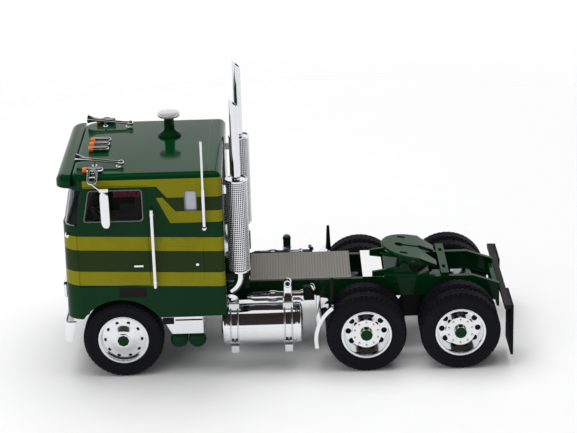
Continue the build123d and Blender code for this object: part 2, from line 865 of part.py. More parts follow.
# Visor: the roof's front edge, a cap of its own that stands ahead of the screen.
with BuildPart() as roof_visor:
    with BuildSketch(Plane.XY.offset(visor_low_z)) as plan:
        front_x = sill_x + visor_overhang
        with BuildLine():
            Polyline(
                (visor_joint_x + visor_gap, side_y),
                (visor_joint_x + visor_gap, -side_y),
                (front_x, -side_y),
                (front_x, side_y),
                close=True)
        make_face()
        fillet(plan.vertices().sort_by(Axis.X)[2:], cab_corner - visor_overhang)
    extrude(amount=cab_top_z - visor_low_z)
    top_edges = roof_visor.faces().sort_by(Axis.Z)[-1].edges().sort_by(Axis.X)[1:]
    fillet(top_edges, cab_roof_edge)
finish(roof_visor, "roof_visor")


# Cab inside: floor, dash, engine tunnel and bunk in one moulding.
inside_front_x = sill_x - cab_wall - fit
inside_rear_x = cab_rear_x + cab_wall + fit
inside_half_y = inner_side_y - fit
arch_top_z = axle_z + arch_dia / 2
with BuildPart() as cab_interior:
    floor_rear_x = inside_rear_x
    with BuildSketch(Plane.XY.offset(floor_z)) as plan:
        with Locations(((inside_front_x + floor_rear_x) / 2, 0)):
            Rectangle(inside_front_x - floor_rear_x, 2 * inside_half_y)
        fillet(plan.vertices().sort_by(Axis.X)[2:], cab_corner)
        fillet(plan.vertices().sort_by(Axis.X)[:2], cab_rear_corner)
    extrude(amount=floor_thickness)
    floor_top_z = floor_z + floor_thickness
    add(box_between(inside_front_x - dash_depth, inside_front_x,
                    -inside_half_y + cab_corner, inside_half_y - cab_corner,
                    floor_top_z, floor_top_z + dash_height))
    add(box_between(inside_rear_x, inside_front_x - dash_depth, -tunnel_width / 2, tunnel_width / 2,
                    floor_top_z, floor_top_z + tunnel_height))
    with BuildSketch(Plane.XY.offset(floor_top_z)) as plan:
        with Locations((inside_rear_x + bunk_depth / 2, 0)):
            Rectangle(bunk_depth, 2 * inside_half_y)
        fillet(plan.vertices().sort_by(Axis.X)[:2], cab_rear_corner)
    extrude(amount=bunk_height)
finish(cab_interior, "cab_interior")

with BuildPart() as seats:
    seat_front_x = from_axle(-seat_front_from_axle)
    seat_rear_x = seat_front_x - seat_depth
    lean = seat_back_height * seat_back_lean_share
    with BuildSketch(side_plane(seat_y + seat_width / 2)):
        with BuildLine():
            Polyline(
                (seat_front_x, floor_top_z),
                (seat_front_x, seat_base_z + seat_cushion),
                (seat_rear_x + seat_back_thickness, seat_base_z + seat_cushion),
                (seat_rear_x + seat_back_thickness - lean, seat_base_z + seat_back_height),
                (seat_rear_x - lean, seat_base_z + seat_back_height),
                (seat_rear_x, floor_top_z),
                close=True)
        make_face()
    extrude(amount=seat_width)
    mirror(about=Plane.XZ)
finish(seats, "seats")

wheel_centre = Vector(inside_front_x - dash_depth - steering_reach, seat_y, floor_top_z + dash_height)
with BuildPart() as steering_wheel:
    lean = radians(steering_lean)
    steering_plane = Plane(origin=wheel_centre, z_dir=(-cos(lean), 0, sin(lean)))
    with BuildSketch(steering_plane):
        Circle(steering_dia / 2)
        Circle(steering_dia / 2 - steering_rim, mode=Mode.SUBTRACT)
        Rectangle(steering_dia - steering_rim, steering_rim)
        Circle(steering_rim)
    extrude(amount=steering_rim)
    column = (steering_reach - steering_rim - fit) / cos(lean)
    with BuildSketch(steering_plane):
        Circle(steering_rim)
    extrude(amount=-column)
finish(steering_wheel, "steering_wheel")

curtain_x = from_axle(curtain_from_axle)
with BuildPart() as curtain:
    curtain_low_z = floor_top_z + tunnel_height
    curtain_high_z = cab_top_z - cab_wall - fit
    with BuildSketch(Plane.YZ.offset(curtain_x)) as hanging:
        with Locations((0, (curtain_low_z + curtain_high_z) / 2)):
            Rectangle(2 * inside_half_y, curtain_high_z - curtain_low_z)
        fillet(hanging.vertices().group_by(Axis.Z)[-1], cab_roof_edge)
    extrude(amount=-curtain_thickness)
finish(curtain, "sleeper_curtain")


# Roof vent: a green neck under a bright mushroom cap.
vent_x = from_axle(vent_from_axle)
neck_top_z = cab_top_z + vent_neck_height
with BuildPart() as roof_vent_neck:
    add(turned_upright(vent_x, vent_y, [
        (0, cab_top_z), (vent_base_dia / 2, cab_top_z), (vent_base_dia / 2, cab_top_z + vent_neck_height / 3),
        (vent_neck_dia / 2, cab_top_z + vent_neck_height / 2), (vent_neck_dia / 2, neck_top_z),
        (0, neck_top_z)]))
finish(roof_vent_neck, "roof_vent_neck")

with BuildPart() as roof_vent_cap:
    add(turned_upright(vent_x, vent_y, [
        (0, neck_top_z), (vent_cap_dia / 2, neck_top_z), (vent_cap_dia / 2, neck_top_z + vent_cap_height / 2),
        (vent_neck_dia / 2, neck_top_z + vent_cap_height), (0, neck_top_z + vent_cap_height)]))
finish(roof_vent_cap, "roof_vent_cap")


# Air horns, the bell of each higher and a little further right than its driver, on two feet.
def horn(driver_y):
    """One horn, with its driver's end at this y."""
    mouth = Vector(from_axle(-horn_front), driver_y - horn_splay, horn_bell_z)
    driver = Vector(from_axle(horn_rear), driver_y, horn_driver_z)
    line = mouth - driver
    bell_r = horn_bell_dia / 2
    tube_r = horn_tube_dia / 2
    driver_r = horn_driver_dia / 2
    with BuildPart() as piece:
        add(turned_flats(Plane(origin=driver, z_dir=line), rod_sides, [
            (0, driver_r), (horn_driver_dia, driver_r), (horn_driver_dia, tube_r),
            (line.length / 2, tube_r), (line.length - bell_r, bell_r / 2), (line.length, bell_r)]))
        for share in (0, 1):
            foot_x = driver.X + tube_r + share * line.X / 2
            foot_y = driver_y - share * horn_splay / 2
            foot_z = driver.Z + share * line.Z / 2
            add(box_between(foot_x, foot_x + 2 * tube_r, foot_y - tube_r / 2, foot_y + tube_r / 2,
                            cab_top_z, foot_z))
    return piece.part


with BuildPart() as air_horns:
    add(horn(cab_half - horn_inset + horn_splay / 2))
    add(horn(horn_inset_right - cab_half + horn_splay / 2))
finish(air_horns, "air_horns")


# Five marker lights, falling to the rear: a bright body with an amber lens in front.
marker_front_x = from_axle(-marker_front)
marker_rear_x = marker_front_x - marker_length


def marker_block(x_low, x_high):
    """The part of every marker between two places along X."""
    with BuildPart() as block:
        for marker_y in marker_ys:
            with BuildSketch(side_plane(marker_y + marker_width / 2)):
                with BuildLine():
                    Polyline(
                        (marker_front_x, cab_top_z),
                        (marker_front_x, cab_top_z + marker_height),
                        (marker_rear_x, cab_top_z + marker_tail_height),
                        (marker_rear_x, cab_top_z),
                        close=True)
                make_face()
            extrude(amount=marker_width)
        add(box_between(x_low, x_high, -cab_half, cab_half, cab_top_z, cab_top_z + marker_height),
            mode=Mode.INTERSECT)
    return block.part


with BuildPart() as marker_light_bodies:
    add(marker_block(marker_rear_x, marker_front_x - marker_lens))
finish(marker_light_bodies, "marker_light_bodies")

with BuildPart() as marker_light_lenses:
    add(marker_block(marker_front_x - marker_lens, marker_front_x))
finish(marker_light_lenses, "marker_light_lenses")


# Mirrors: an upright head on an arm from the door, with a looped stay up to the roof's edge.
mirror_x = from_axle(-mirror_ahead)
loop_foot = Vector(mirror_x, mirror_y, mirror_top_z - bracket_dia)
loop_top = Vector(mirror_x, cab_half - mirror_loop_inset, mirror_loop_top_z)
loop_line = loop_top - loop_foot
loop_plane = Plane(origin=(loop_foot + loop_top) / 2, x_dir=loop_line, z_dir=loop_line.cross(Vector(1, 0, 0)))
with BuildPart() as mirror_piece:
    with BuildSketch(Plane.XY.offset(mirror_low_z)):
        with Locations(Location((mirror_x, mirror_y), -mirror_turn)):
            RectangleRounded(mirror_width, mirror_thickness, mirror_thickness / 3)
    extrude(amount=mirror_top_z - mirror_low_z)
    with BuildSketch(loop_plane):
        Rectangle(loop_line.length, mirror_loop_width)
        Rectangle(loop_line.length - 2 * bracket_dia, mirror_loop_width - 2 * bracket_dia, mode=Mode.SUBTRACT)
    extrude(amount=bracket_dia / 2, both=True)
    with BuildSketch(side_plane(mirror_y)):
        with Locations((mirror_x, mirror_low_z + bracket_dia)):
            RegularPolygon(bracket_dia / 2, rod_sides, major_radius=False)
    extrude(amount=mirror_y)
    add(outer_block, mode=Mode.SUBTRACT)
    mirror_parts = mirror_piece.solids().sort_by(Axis.Y)
for side, name in ((1, "mirror_left"), (-1, "mirror_right")):
    with BuildPart() as placed:
        add(mirror_parts[-1] if side == 1 else mirror_parts[-1].mirror(Plane.XZ))
    finish(placed, name)


def upright_rod(x, y, outline):
    """Many-sided rod on a vertical line, from (height, radius) points."""
    return turned_flats(Plane(origin=(x, y, 0), z_dir=(0, 0, 1)), rod_sides, outline)


def foot_bar(x, y, z, dia):
    """Short rod from a standing rod's line in to the cab's side."""
    return turned_flats(Plane(origin=(x, y, z), x_dir=(1, 0, 0), z_dir=(0, -1, 0)), rod_sides, [
        (0, dia / 2), (y - cab_half, dia / 2)])


# Long grab handle behind each door, on two feet.
handle_x = from_axle(handle_from_axle)
with BuildPart() as grab_handles:
    add(upright_rod(handle_x, handle_y, [(handle_low_z, handle_dia / 2), (handle_top_z, handle_dia / 2)]))
    for foot_z in (handle_low_z + handle_foot_z, handle_top_z - handle_foot_z):
        add(foot_bar(handle_x, handle_y, foot_z, handle_dia - 2 * fit))
    mirror(about=Plane.XZ)
finish(grab_handles, "grab_handles")


# Tall rod on the left side, its upper part slimmer and its foot a knob.
rod_x = from_axle(rod_from_axle)
with BuildPart() as side_rod:
    add(upright_rod(rod_x, rod_y, [
        (rod_low_z, rod_knob_dia / 2), (rod_low_z + rod_knob_dia, rod_knob_dia / 2),
        (rod_low_z + rod_knob_dia, rod_dia / 2), (rod_joint_z, rod_dia / 2),
        (rod_joint_z, rod_top_dia / 2), (rod_top_z, rod_top_dia / 2)]))
    for foot_z in (rod_low_z + rod_knob_dia / 2, rod_joint_z - rod_dia):
        add(foot_bar(rod_x, rod_y, foot_z, rod_dia - 2 * fit))
finish(side_rod, "side_rod")


# Door handles, luggage door locks and corner lamps: small bright pieces on the cab's skin.
with BuildPart() as cab_latches:
    latch_x = from_axle(latch_from_axle)
    add(box_between(latch_x - latch_length / 2, latch_x + latch_length / 2, cab_half, cab_half + latch_proud,
                    latch_z - latch_height / 2, latch_z + latch_height / 2))
    add(turned_flats(
        Plane(origin=(from_axle(lock_from_axle), cab_half + latch_proud, lock_z), x_dir=(1, 0, 0),
              z_dir=(0, -1, 0)), rod_sides, [(0, lock_dia / 3), (latch_proud, lock_dia / 2)]))
    mirror(about=Plane.XZ)
finish(cab_latches, "cab_latches")

corner_reach = (cab_corner - corner_lamp_seat) * cos(radians(45))
corner_point = (sill_x - cab_corner + corner_reach, cab_half - cab_corner + corner_reach, corner_lamp_z)
with BuildPart() as corner_lamps:
    add(turned_flats(Plane(origin=corner_point, z_dir=(1, 1, 0)), rod_sides, [
        (0, corner_lamp_dia / 2), (corner_lamp_seat + corner_lamp_dia / 4, corner_lamp_dia / 2),
        (corner_lamp_seat + corner_lamp_dia / 2, corner_lamp_dia / 4)]))
    add(outer_block, mode=Mode.SUBTRACT)
    mirror(about=Plane.XZ)
finish(corner_lamps, "corner_lamps")


# Bumper: a bent bar with returned ends, on two brackets from the rails.
with BuildPart() as front_bumper:
    with BuildSketch(Plane.XY.offset(bumper_low_z)) as plan:
        half = bumper_width / 2
        with Locations((nose_x - bumper_return / 2, 0)):
            Rectangle(bumper_return, bumper_width)
        fillet(plan.vertices().sort_by(Axis.X)[2:], bumper_corner)
        with Locations((nose_x - bumper_return / 2 - bumper_thickness, 0)):
            Rectangle(bumper_return, bumper_width - 2 * bumper_thickness, mode=Mode.SUBTRACT)
    extrude(amount=bumper_top_z - bumper_low_z)
    for side in (1, -1):
        bracket_y = side * (rail_outer_y - rail_flange / 2)
        add(box_between(rail_front_x - bumper_bracket, nose_x - bumper_thickness,
                        bracket_y - rail_flange / 2, bracket_y + rail_flange / 2,
                        bumper_top_z - bumper_bracket, rail_low_z))
finish(front_bumper, "front_bumper")


# Grille: a border with upright bars on the cab's front.
grille_x = cab_nose_x
with BuildPart() as grille:
    with BuildSketch(Plane.YZ.offset(grille_x)):
        with Locations((0, (grille_low_z + grille_top_z) / 2)):
            Rectangle(grille_width, grille_top_z - grille_low_z)
            Rectangle(grille_width - 2 * grille_border, grille_top_z - grille_low_z - 2 * grille_border,
                      mode=Mode.SUBTRACT)
            with GridLocations((grille_width - 2 * grille_border) / (grille_bars + 1), 0, grille_bars, 1):
                Rectangle(grille_bar_width, grille_top_z - grille_low_z - grille_border)
    extrude(amount=grille_depth)
finish(grille, "grille")

with BuildPart() as headlight_bezels:
    with BuildSketch(Plane.YZ.offset(cab_nose_x)):
        with Locations((sum(lamp_ys) / 2, lamp_z)):
            RectangleRounded(bezel_width, lamp_bezel_height, lamp_bezel_depth)
        for lamp_y in lamp_ys:
            with Locations((lamp_y, lamp_z)):
                Circle(lamp_dia / 2, mode=Mode.SUBTRACT)
    extrude(amount=lamp_bezel_depth)
    mirror(about=Plane.XZ)
finish(headlight_bezels, "headlight_bezels")

with BuildPart() as headlight_lenses:
    with BuildSketch(Plane.YZ.offset(cab_nose_x)):
        for lamp_y in lamp_ys:
            with Locations((lamp_y, lamp_z)):
                Circle(lamp_dia / 2 - fit)
    extrude(amount=lamp_lens_depth)
    mirror(about=Plane.XZ)
finish(headlight_lenses, "headlight_lenses")


# Stacks: an upright pipe with a mitred top and a bend forward at its foot, and a guard round it.
stack_x = from_axle(stack_from_axle)
stack_r = stack_dia / 2
bore_r = stack_r - stack_wall
guard_r = guard_dia / 2
for side, where in ((1, "left"), (-1, "right")):
    centre_y = side * stack_y
    with BuildPart() as exhaust_stack:
        with BuildLine() as path:
            rise = Line((stack_x, centre_y, stack_top_z), (stack_x, centre_y, stack_bend_z))
            bend_centre_x = stack_x + stack_bend_radius
            turn = radians(55)
            bend_end = (bend_centre_x - stack_bend_radius * cos(turn), centre_y,
                        stack_bend_z - stack_bend_radius * sin(turn))
            bend_mid = (bend_centre_x - stack_bend_radius * cos(turn / 2), centre_y,
                        stack_bend_z - stack_bend_radius * sin(turn / 2))
            ThreePointArc(rise @ 1, bend_mid, bend_end)
        with BuildSketch(Plane(origin=path.line @ 0, z_dir=(0, 0, -1))):
            RegularPolygon(stack_r, stack_sides, major_radius=False)
        sweep()
        with BuildSketch(Plane.XY.offset(stack_top_z)):
            with Locations((stack_x, centre_y)):
                RegularPolygon(bore_r, stack_sides, major_radius=False)
        extrude(amount=-stack_bore_depth, mode=Mode.SUBTRACT)
        with BuildSketch(side_plane(centre_y + guard_r)):
            with BuildLine():
                Polyline(
                    (stack_x + stack_r, stack_top_z),
                    (stack_x - stack_r, stack_top_z - stack_mitre_drop),
                    (stack_x - stack_r - cut_over, stack_top_z - stack_mitre_drop),
                    (stack_x - stack_r - cut_over, stack_top_z + cut_over),
                    (stack_x + stack_r, stack_top_z + cut_over),
                    close=True)
            make_face()
        extrude(amount=guard_dia, mode=Mode.SUBTRACT)
    finish(exhaust_stack, f"stack_{where}")

    with BuildPart() as stack_guard:
        upright = Plane(origin=(stack_x, centre_y, 0), z_dir=(0, 0, 1))
        collar_r = stack_r + 2 * fit
        add(turned_flats(upright, stack_sides, [(guard_low_z, guard_r), (guard_top_z, guard_r)]))
        add(turned_flats(upright, stack_sides, [
            (guard_low_z + guard_wall, guard_r - guard_wall),
            (guard_top_z - guard_wall, guard_r - guard_wall)]), mode=Mode.SUBTRACT)
        add(turned_flats(upright, stack_sides, [
            (guard_low_z - cut_over, collar_r), (guard_top_z + cut_over, collar_r)]), mode=Mode.SUBTRACT)
        bracket_low_z = guard_top_z - guard_bracket_drop
        add(box_between(stack_x + guard_r - guard_wall, cab_rear_x,
                        centre_y - guard_bracket / 2, centre_y + guard_bracket / 2,
                        bracket_low_z, bracket_low_z + guard_bracket))
    finish(stack_guard, f"stack_guard_{where}")


# Deck: a tread plate behind the cab and a bright plate ahead of the fifth wheel.
with BuildPart() as deck_plate:
    add(box_between(from_axle(deck_rear_from_axle), from_axle(deck_front_from_axle),
                    -rail_outer_y, rail_outer_y, rail_top_z, rail_top_z + deck_thickness))
finish(deck_plate, "deck_plate")

with BuildPart() as bright_plate:
    add(box_between(from_axle(plate_rear_from_axle), from_axle(plate_front_from_axle),
                    -rail_outer_y, rail_outer_y, rail_top_z, rail_top_z + deck_thickness))
finish(bright_plate, "bright_plate")


# Fuel tanks, each on two straps that reach in to the rail, with a pipe above.
tank_r = tank_dia / 2
tank_front_x = from_axle(tank_front_from_axle)
tank_rear_x = tank_front_x - tank_length
for side, name in ((1, "fuel_tank_left"), (-1, "fuel_tank_right")):
    with BuildPart() as fuel_tank:
        add(turned_lengthwise(side * tank_y, tank_z, [
            (tank_front_x, 0), (tank_front_x, tank_r - tank_edge), (tank_front_x - tank_edge, tank_r),
            (tank_rear_x + tank_edge, tank_r), (tank_rear_x, tank_r - tank_edge), (tank_rear_x, 0)]))
    finish(fuel_tank, name)

strap_r = tank_r + fit + strap_thickness
with BuildPart() as tank_straps:
    for place in straps_from_axle:
        strap_x = from_axle(place)
        low_x = strap_x - strap_width / 2
        high_x = strap_x + strap_width / 2
        add(turned_lengthwise(tank_y, tank_z, [
            (low_x, 0), (low_x, strap_r), (high_x, strap_r), (high_x, 0)]))
        add(box_between(low_x, high_x, rail_outer_y, tank_y,
                        tank_z + strap_r - strap_arm_drop - strap_arm_height,
                        tank_z + strap_r - strap_arm_drop))
        add(box_between(low_x, high_x, tank_y - strap_arm_height / 2, tank_y + strap_arm_height / 2,
                        tank_z - strap_r - strap_thickness, tank_z))
    with BuildSketch(Plane.YZ.offset(tank_rear_x - cut_over)):
        with Locations((tank_y, tank_z)):
            Circle(tank_r + fit)
    extrude(amount=tank_length + 2 * cut_over, mode=Mode.SUBTRACT)
    mirror(about=Plane.XZ)
finish(tank_straps, "tank_straps")

pipe_r = pipe_dia / 2
pipe_front_x = from_axle(pipe_front_from_axle)
pipe_rear_x = from_axle(pipe_rear_from_axle)
clamp_x = from_axle(straps_from_axle[1])
with BuildPart() as upper_pipes:
    flange_r = pipe_flange_dia / 2
    add(turned_lengthwise(pipe_y, pipe_z, [
        (pipe_front_x, 0), (pipe_front_x, pipe_r), (pipe_rear_x + pipe_flange_length, pipe_r),
        (pipe_rear_x + pipe_flange_length, flange_r), (pipe_rear_x, flange_r), (pipe_rear_x, 0)]))
    add(box_between(clamp_x - strap_width / 2, clamp_x + strap_width / 2, rail_outer_y, pipe_y,
                    pipe_z, rail_top_z))
    mirror(about=Plane.XZ)
finish(upper_pipes, "upper_pipes")


# Battery boxes with a sloping front, and two green air tanks under each.
with BuildPart() as battery_boxes:
    with BuildSketch(side_plane(box_outer_y)):
        with BuildLine():
            Polyline(
                (from_axle(box_front_from_axle), box_top_z),
                (from_axle(box_slope_from_axle), box_low_z),
                (from_axle(box_rear_from_axle), box_low_z),
                (from_axle(box_rear_from_axle), box_top_z),
                close=True)
        make_face()
    extrude(amount=box_outer_y - rail_outer_y)
    mirror(about=Plane.XZ)
finish(battery_boxes, "battery_boxes")

air_tank_r = air_tank_dia / 2
air_tank_z = box_low_z - fit - air_tank_r
with BuildPart() as air_tanks:
    for place in air_tanks_from_axle:
        with BuildSketch(side_plane(air_tank_outer_y)):
            with Locations((from_axle(place), air_tank_z)):
                Circle(air_tank_r)
        extrude(amount=air_tank_length)
    mirror(about=Plane.XZ)
finish(air_tanks, "air_tanks")


# Quarter fenders: a curved plate ahead of each first drive wheel, on a post from the rail.
fender_r = tyre_r + fender_clearance
with BuildPart() as quarter_fenders:
    with BuildSketch(side_plane(fender_outer_y)):
        centre_x = drive_axle_xs[0]
        top = radians(fender_top_angle)
        low = radians(fender_low_angle)
        middle = (top + low) / 2
        outer_r = fender_r + fender_thickness
        with BuildLine():
            inner_arc = ThreePointArc(*[
                (centre_x + fender_r * cos(angle), axle_z + fender_r * sin(angle)) for angle in (top, middle, low)])
            outer_arc = ThreePointArc(*[
                (centre_x + outer_r * cos(angle), axle_z + outer_r * sin(angle)) for angle in (low, middle, top)])
            Line(inner_arc @ 1, outer_arc @ 0)
            Line(outer_arc @ 1, inner_arc @ 0)
        make_face()
    extrude(amount=fender_width)
    post_x = centre_x + outer_r * cos(top)
    post_z = axle_z + outer_r * sin(top)
    add(box_between(post_x, post_x + fender_post, rail_outer_y, fender_outer_y,
                    post_z - fender_post, post_z))
    mirror(about=Plane.XZ)
finish(quarter_fenders, "quarter_fenders")


# Fifth wheel: a round-nosed plate with a throat and two ramps, tilted on a cross pin.
pivot = Vector(from_axle(coupling_pivot_from_axle), 0, coupling_pivot_z)
tilt = radians(coupling_tilt)
plate_drop = (coupling_pivot_from_axle - coupling_front_from_axle) * tan(tilt)
plate_over_pivot = (coupling_top_z - plate_drop - coupling_pivot_z) * cos(tilt)
# The plate's own plane: its x runs forward up the slope, its origin is on the top over the pivot.
plate_normal = Vector(-sin(tilt), 0, cos(tilt))
plate_plane = Plane(origin=pivot + plate_normal * plate_over_pivot, x_dir=(cos(tilt), 0, sin(tilt)),
                    z_dir=plate_normal)
offset_x = plate_over_pivot * sin(tilt)


def on_plate(distance):
    """Distance along the plate's slope for a place this far behind the front axle."""
    return (from_axle(distance) - pivot.X + offset_x) / cos(tilt)


plate_front = on_plate(coupling_front_from_axle)
crease = on_plate(coupling_crease_from_axle)
throat_at = on_plate(coupling_from_axle)
half_width = coupling_width / 2
# The ramps' own plane turns down from the plate's at the crease.
steep = tilt + radians(ramp_drop)
ramp_plane = Plane(origin=plate_plane.from_local_coords((crease, 0, 0)), x_dir=(cos(steep), 0, sin(steep)),
                   z_dir=(-sin(steep), 0, cos(steep)))
ramp_length = (coupling_tip_from_axle - coupling_crease_from_axle) / cos(steep)
with BuildPart() as fifth_wheel_plate:
    with BuildSketch(plate_plane):
        with BuildLine():
            nose = ThreePointArc(
                (plate_front - half_width, -half_width), (plate_front, 0), (plate_front - half_width, half_width))
            Polyline(nose @ 1, (crease, half_width), (crease, -half_width), nose @ 0)
        make_face()
    extrude(amount=-coupling_thickness)
    chamfer(fifth_wheel_plate.faces().sort_by(Axis.Z)[-1].edges().filter_by(GeomType.CIRCLE), plate_edge)
    with BuildSketch(ramp_plane):
        with BuildLine():
            Polyline(
                (0, half_width),
                (-ramp_length, ramp_mouth / 2 + ramp_tip_width),
                (-ramp_length, -ramp_mouth / 2 - ramp_tip_width),
                (0, -half_width),
                close=True)
        make_face()
    extrude(amount=-coupling_thickness)
    # The throat, the slot behind it and the mouth between the ramps.
    with BuildSketch(plate_plane):
        with Locations((throat_at, 0)):
            Circle(throat_dia / 2)
        with Locations(((throat_at + crease) / 2, 0)):
            Rectangle(throat_at - crease, throat_slot)
        for side in (1, -1):
            with Locations((throat_at - slot_behind_throat, side * slot_y)):
                Rectangle(slot_length, slot_width)
    extrude(amount=coupling_thickness + cut_over, both=True, mode=Mode.SUBTRACT)
    with BuildSketch(ramp_plane):
        with BuildLine():
            Polyline(
                (0, throat_mouth / 2),
                (-ramp_length - cut_over, ramp_mouth / 2),
                (-ramp_length - cut_over, -ramp_mouth / 2),
                (0, -throat_mouth / 2),
                close=True)
        make_face()
    extrude(amount=coupling_thickness + cut_over, both=True, mode=Mode.SUBTRACT)
    for side in (1, -1):
        lug_outer = side * lug_y + lug_thickness / 2
        with BuildSketch(side_plane(lug_outer)):
            with Locations((pivot.X, pivot.Z)):
                Circle(lug_dia / 2)
            with BuildLine():
                Polyline(
                    (pivot.X - lug_dia / 2, pivot.Z),
                    (pivot.X + lug_dia / 2, pivot.Z),
                    tuple(plate_plane.from_local_coords((lug_dia, 0, -coupling_thickness / 2)))[::2],
                    tuple(plate_plane.from_local_coords((-lug_dia, 0, -coupling_thickness / 2)))[::2],
                    close=True)
            make_face()
        extrude(amount=lug_thickness)
    with BuildSketch(side_plane(cab_width)):
        with Locations((pivot.X, pivot.Z)):
            Circle(pivot_dia / 2 + running)
    extrude(amount=2 * cab_width, mode=Mode.SUBTRACT)
finish(fifth_wheel_plate, "fifth_wheel_plate")

base_top_z = rail_top_z + base_thickness
deck_top_z = rail_top_z + deck_thickness
arm_front_x = from_axle(arm_front_from_axle)
ear_y = lug_y + lug_thickness / 2 + running + ear_thickness / 2
with BuildPart() as fifth_wheel_base:
    add(box_between(from_axle(base_rear_from_axle), from_axle(base_front_from_axle),
                    -rail_outer_y, rail_outer_y, rail_top_z, base_top_z))
    for side in (1, -1):
        with BuildSketch(side_plane(side * ear_y + ear_thickness / 2)):
            with Locations((pivot.X, pivot.Z)):
                Circle(ear_dia / 2)
            with BuildLine():
                Polyline(
                    (pivot.X - ear_dia / 2, pivot.Z),
                    (pivot.X + ear_dia / 2, pivot.Z),
                    (arm_front_x, deck_top_z + arm_toe),
                    (arm_front_x, deck_top_z),
                    (pivot.X - ear_dia, deck_top_z),
                    close=True)
            make_face()
        extrude(amount=ear_thickness)
    pin_half = ear_y + ear_thickness / 2
    with BuildSketch(side_plane(pin_half)):
        with Locations((pivot.X, pivot.Z)):
            Circle(pivot_dia / 2)
    extrude(amount=2 * pin_half)
finish(fifth_wheel_base, "fifth_wheel_base")


# Mudflaps on a cross bar behind the frame's end.
flap_rear_x = tail_x
flap_front_x = flap_rear_x + flap_thickness
with BuildPart() as mudflap_hanger:
    add(box_between(flap_front_x, rail_rear_x, -flap_outer_y, flap_outer_y,
                    hanger_z - hanger_bar / 2, hanger_z + hanger_bar / 2))
finish(mudflap_hanger, "mudflap_hanger")

with BuildPart() as mudflaps:
    add(box_between(flap_rear_x, flap_front_x, flap_inner_y, flap_outer_y, flap_low_z, flap_top_z))
    mirror(about=Plane.XZ)
finish(mudflaps, "mudflaps")
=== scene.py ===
import json
import math

import bmesh
import bpy
import numpy as np
from mathutils import Matrix, Vector


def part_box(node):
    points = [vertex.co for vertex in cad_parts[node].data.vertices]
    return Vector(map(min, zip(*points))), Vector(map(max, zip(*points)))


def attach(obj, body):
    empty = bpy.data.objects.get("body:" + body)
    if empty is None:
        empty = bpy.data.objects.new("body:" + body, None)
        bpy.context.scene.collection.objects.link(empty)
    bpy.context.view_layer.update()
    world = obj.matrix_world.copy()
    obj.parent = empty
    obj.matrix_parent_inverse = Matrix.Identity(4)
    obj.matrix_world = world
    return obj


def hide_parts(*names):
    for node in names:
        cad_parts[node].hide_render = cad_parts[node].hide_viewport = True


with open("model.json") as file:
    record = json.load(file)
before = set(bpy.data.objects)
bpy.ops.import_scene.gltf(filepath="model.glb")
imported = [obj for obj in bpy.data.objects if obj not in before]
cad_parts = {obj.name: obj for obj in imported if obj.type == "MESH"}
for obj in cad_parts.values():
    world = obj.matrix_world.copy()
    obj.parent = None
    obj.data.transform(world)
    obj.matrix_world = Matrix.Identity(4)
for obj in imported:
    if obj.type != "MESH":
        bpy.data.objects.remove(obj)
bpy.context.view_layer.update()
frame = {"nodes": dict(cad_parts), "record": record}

mm = 0.001                   # every size below is in millimetres until a mesh is made

# Camera: the photograph was taken from the truck's left side with a long lens, a little above
# the roof and rolled very slightly. The place is measured from the middle of the model's foot.
camera_place = Vector((-2.686, 569.369, 256.934)) * mm
camera_yaw = math.radians(-0.2)
camera_pitch = math.radians(20.572)
camera_roll = math.radians(-1.725)
camera_lens = 115.97
camera_sensor = 36.0

ahead = Vector((-math.sin(camera_yaw) * math.cos(camera_pitch),
                -math.cos(camera_yaw) * math.cos(camera_pitch), -math.sin(camera_pitch)))
level = ahead.cross(Vector((0, 0, 1))).normalized()
over = level.cross(ahead)
camera_right = level * math.cos(camera_roll) + over * math.sin(camera_roll)
camera_up = over * math.cos(camera_roll) - level * math.sin(camera_roll)
camera_data = bpy.data.cameras.new("photograph")
camera_data.sensor_width = camera_sensor
camera_data.lens = camera_lens
camera = bpy.data.objects.new("photograph", camera_data)
camera.matrix_world = Matrix.LocRotScale(
    camera_place, Matrix((camera_right, camera_up, -ahead)).transposed(), None)
bpy.context.scene.collection.objects.link(camera)
bpy.context.scene.camera = camera
bpy.context.scene.view_settings.view_transform = "Standard"


# Studio light: a white sky, a wide soft box above and a little behind the model, and a weaker one
# in front. Camera, mirrors and glass see the sky as plain white; on matt surfaces it only fills.
sky_fill = 0.22
key_place, key_size, key_power = (0.05, -0.10, 0.80), 0.9, 7.4
front_place, front_size, front_power = (0.5, 0.55, 0.3), 0.7, 1.9
lamp_aim = Vector((0, 0, 0.04))


def connect(tree, source, target):
    """Link two sockets in a node tree."""
    tree.links.new(source, target)


def shader_node(tree, kind, operation=None, **values):
    """Add a node to a tree, with its operation and the sockets that keep a plain value."""
    node = tree.nodes.new("ShaderNode" + kind)
    if operation:
        node.operation = operation
    for socket, value in values.items():
        node.inputs[socket.replace("_", " ")].default_value = value
    return node


world = bpy.data.worlds.new("studio")
world.use_nodes = True
bpy.context.scene.world = world
sky = world.node_tree
seen = shader_node(sky, "LightPath")
background = sky.nodes["Background"]
background.inputs["Color"].default_value = (1, 1, 1, 1)
direct = shader_node(sky, "Math", "MAXIMUM")
connect(sky, seen.outputs["Is Camera Ray"], direct.inputs[0])
connect(sky, seen.outputs["Is Glossy Ray"], direct.inputs[1])
through = shader_node(sky, "Math", "MAXIMUM")
connect(sky, direct.outputs[0], through.inputs[0])
connect(sky, seen.outputs["Is Transmission Ray"], through.inputs[1])
strength = shader_node(sky, "MapRange", To_Min=sky_fill, To_Max=1.0)
connect(sky, through.outputs[0], strength.inputs["Value"])
connect(sky, strength.outputs["Result"], background.inputs["Strength"])


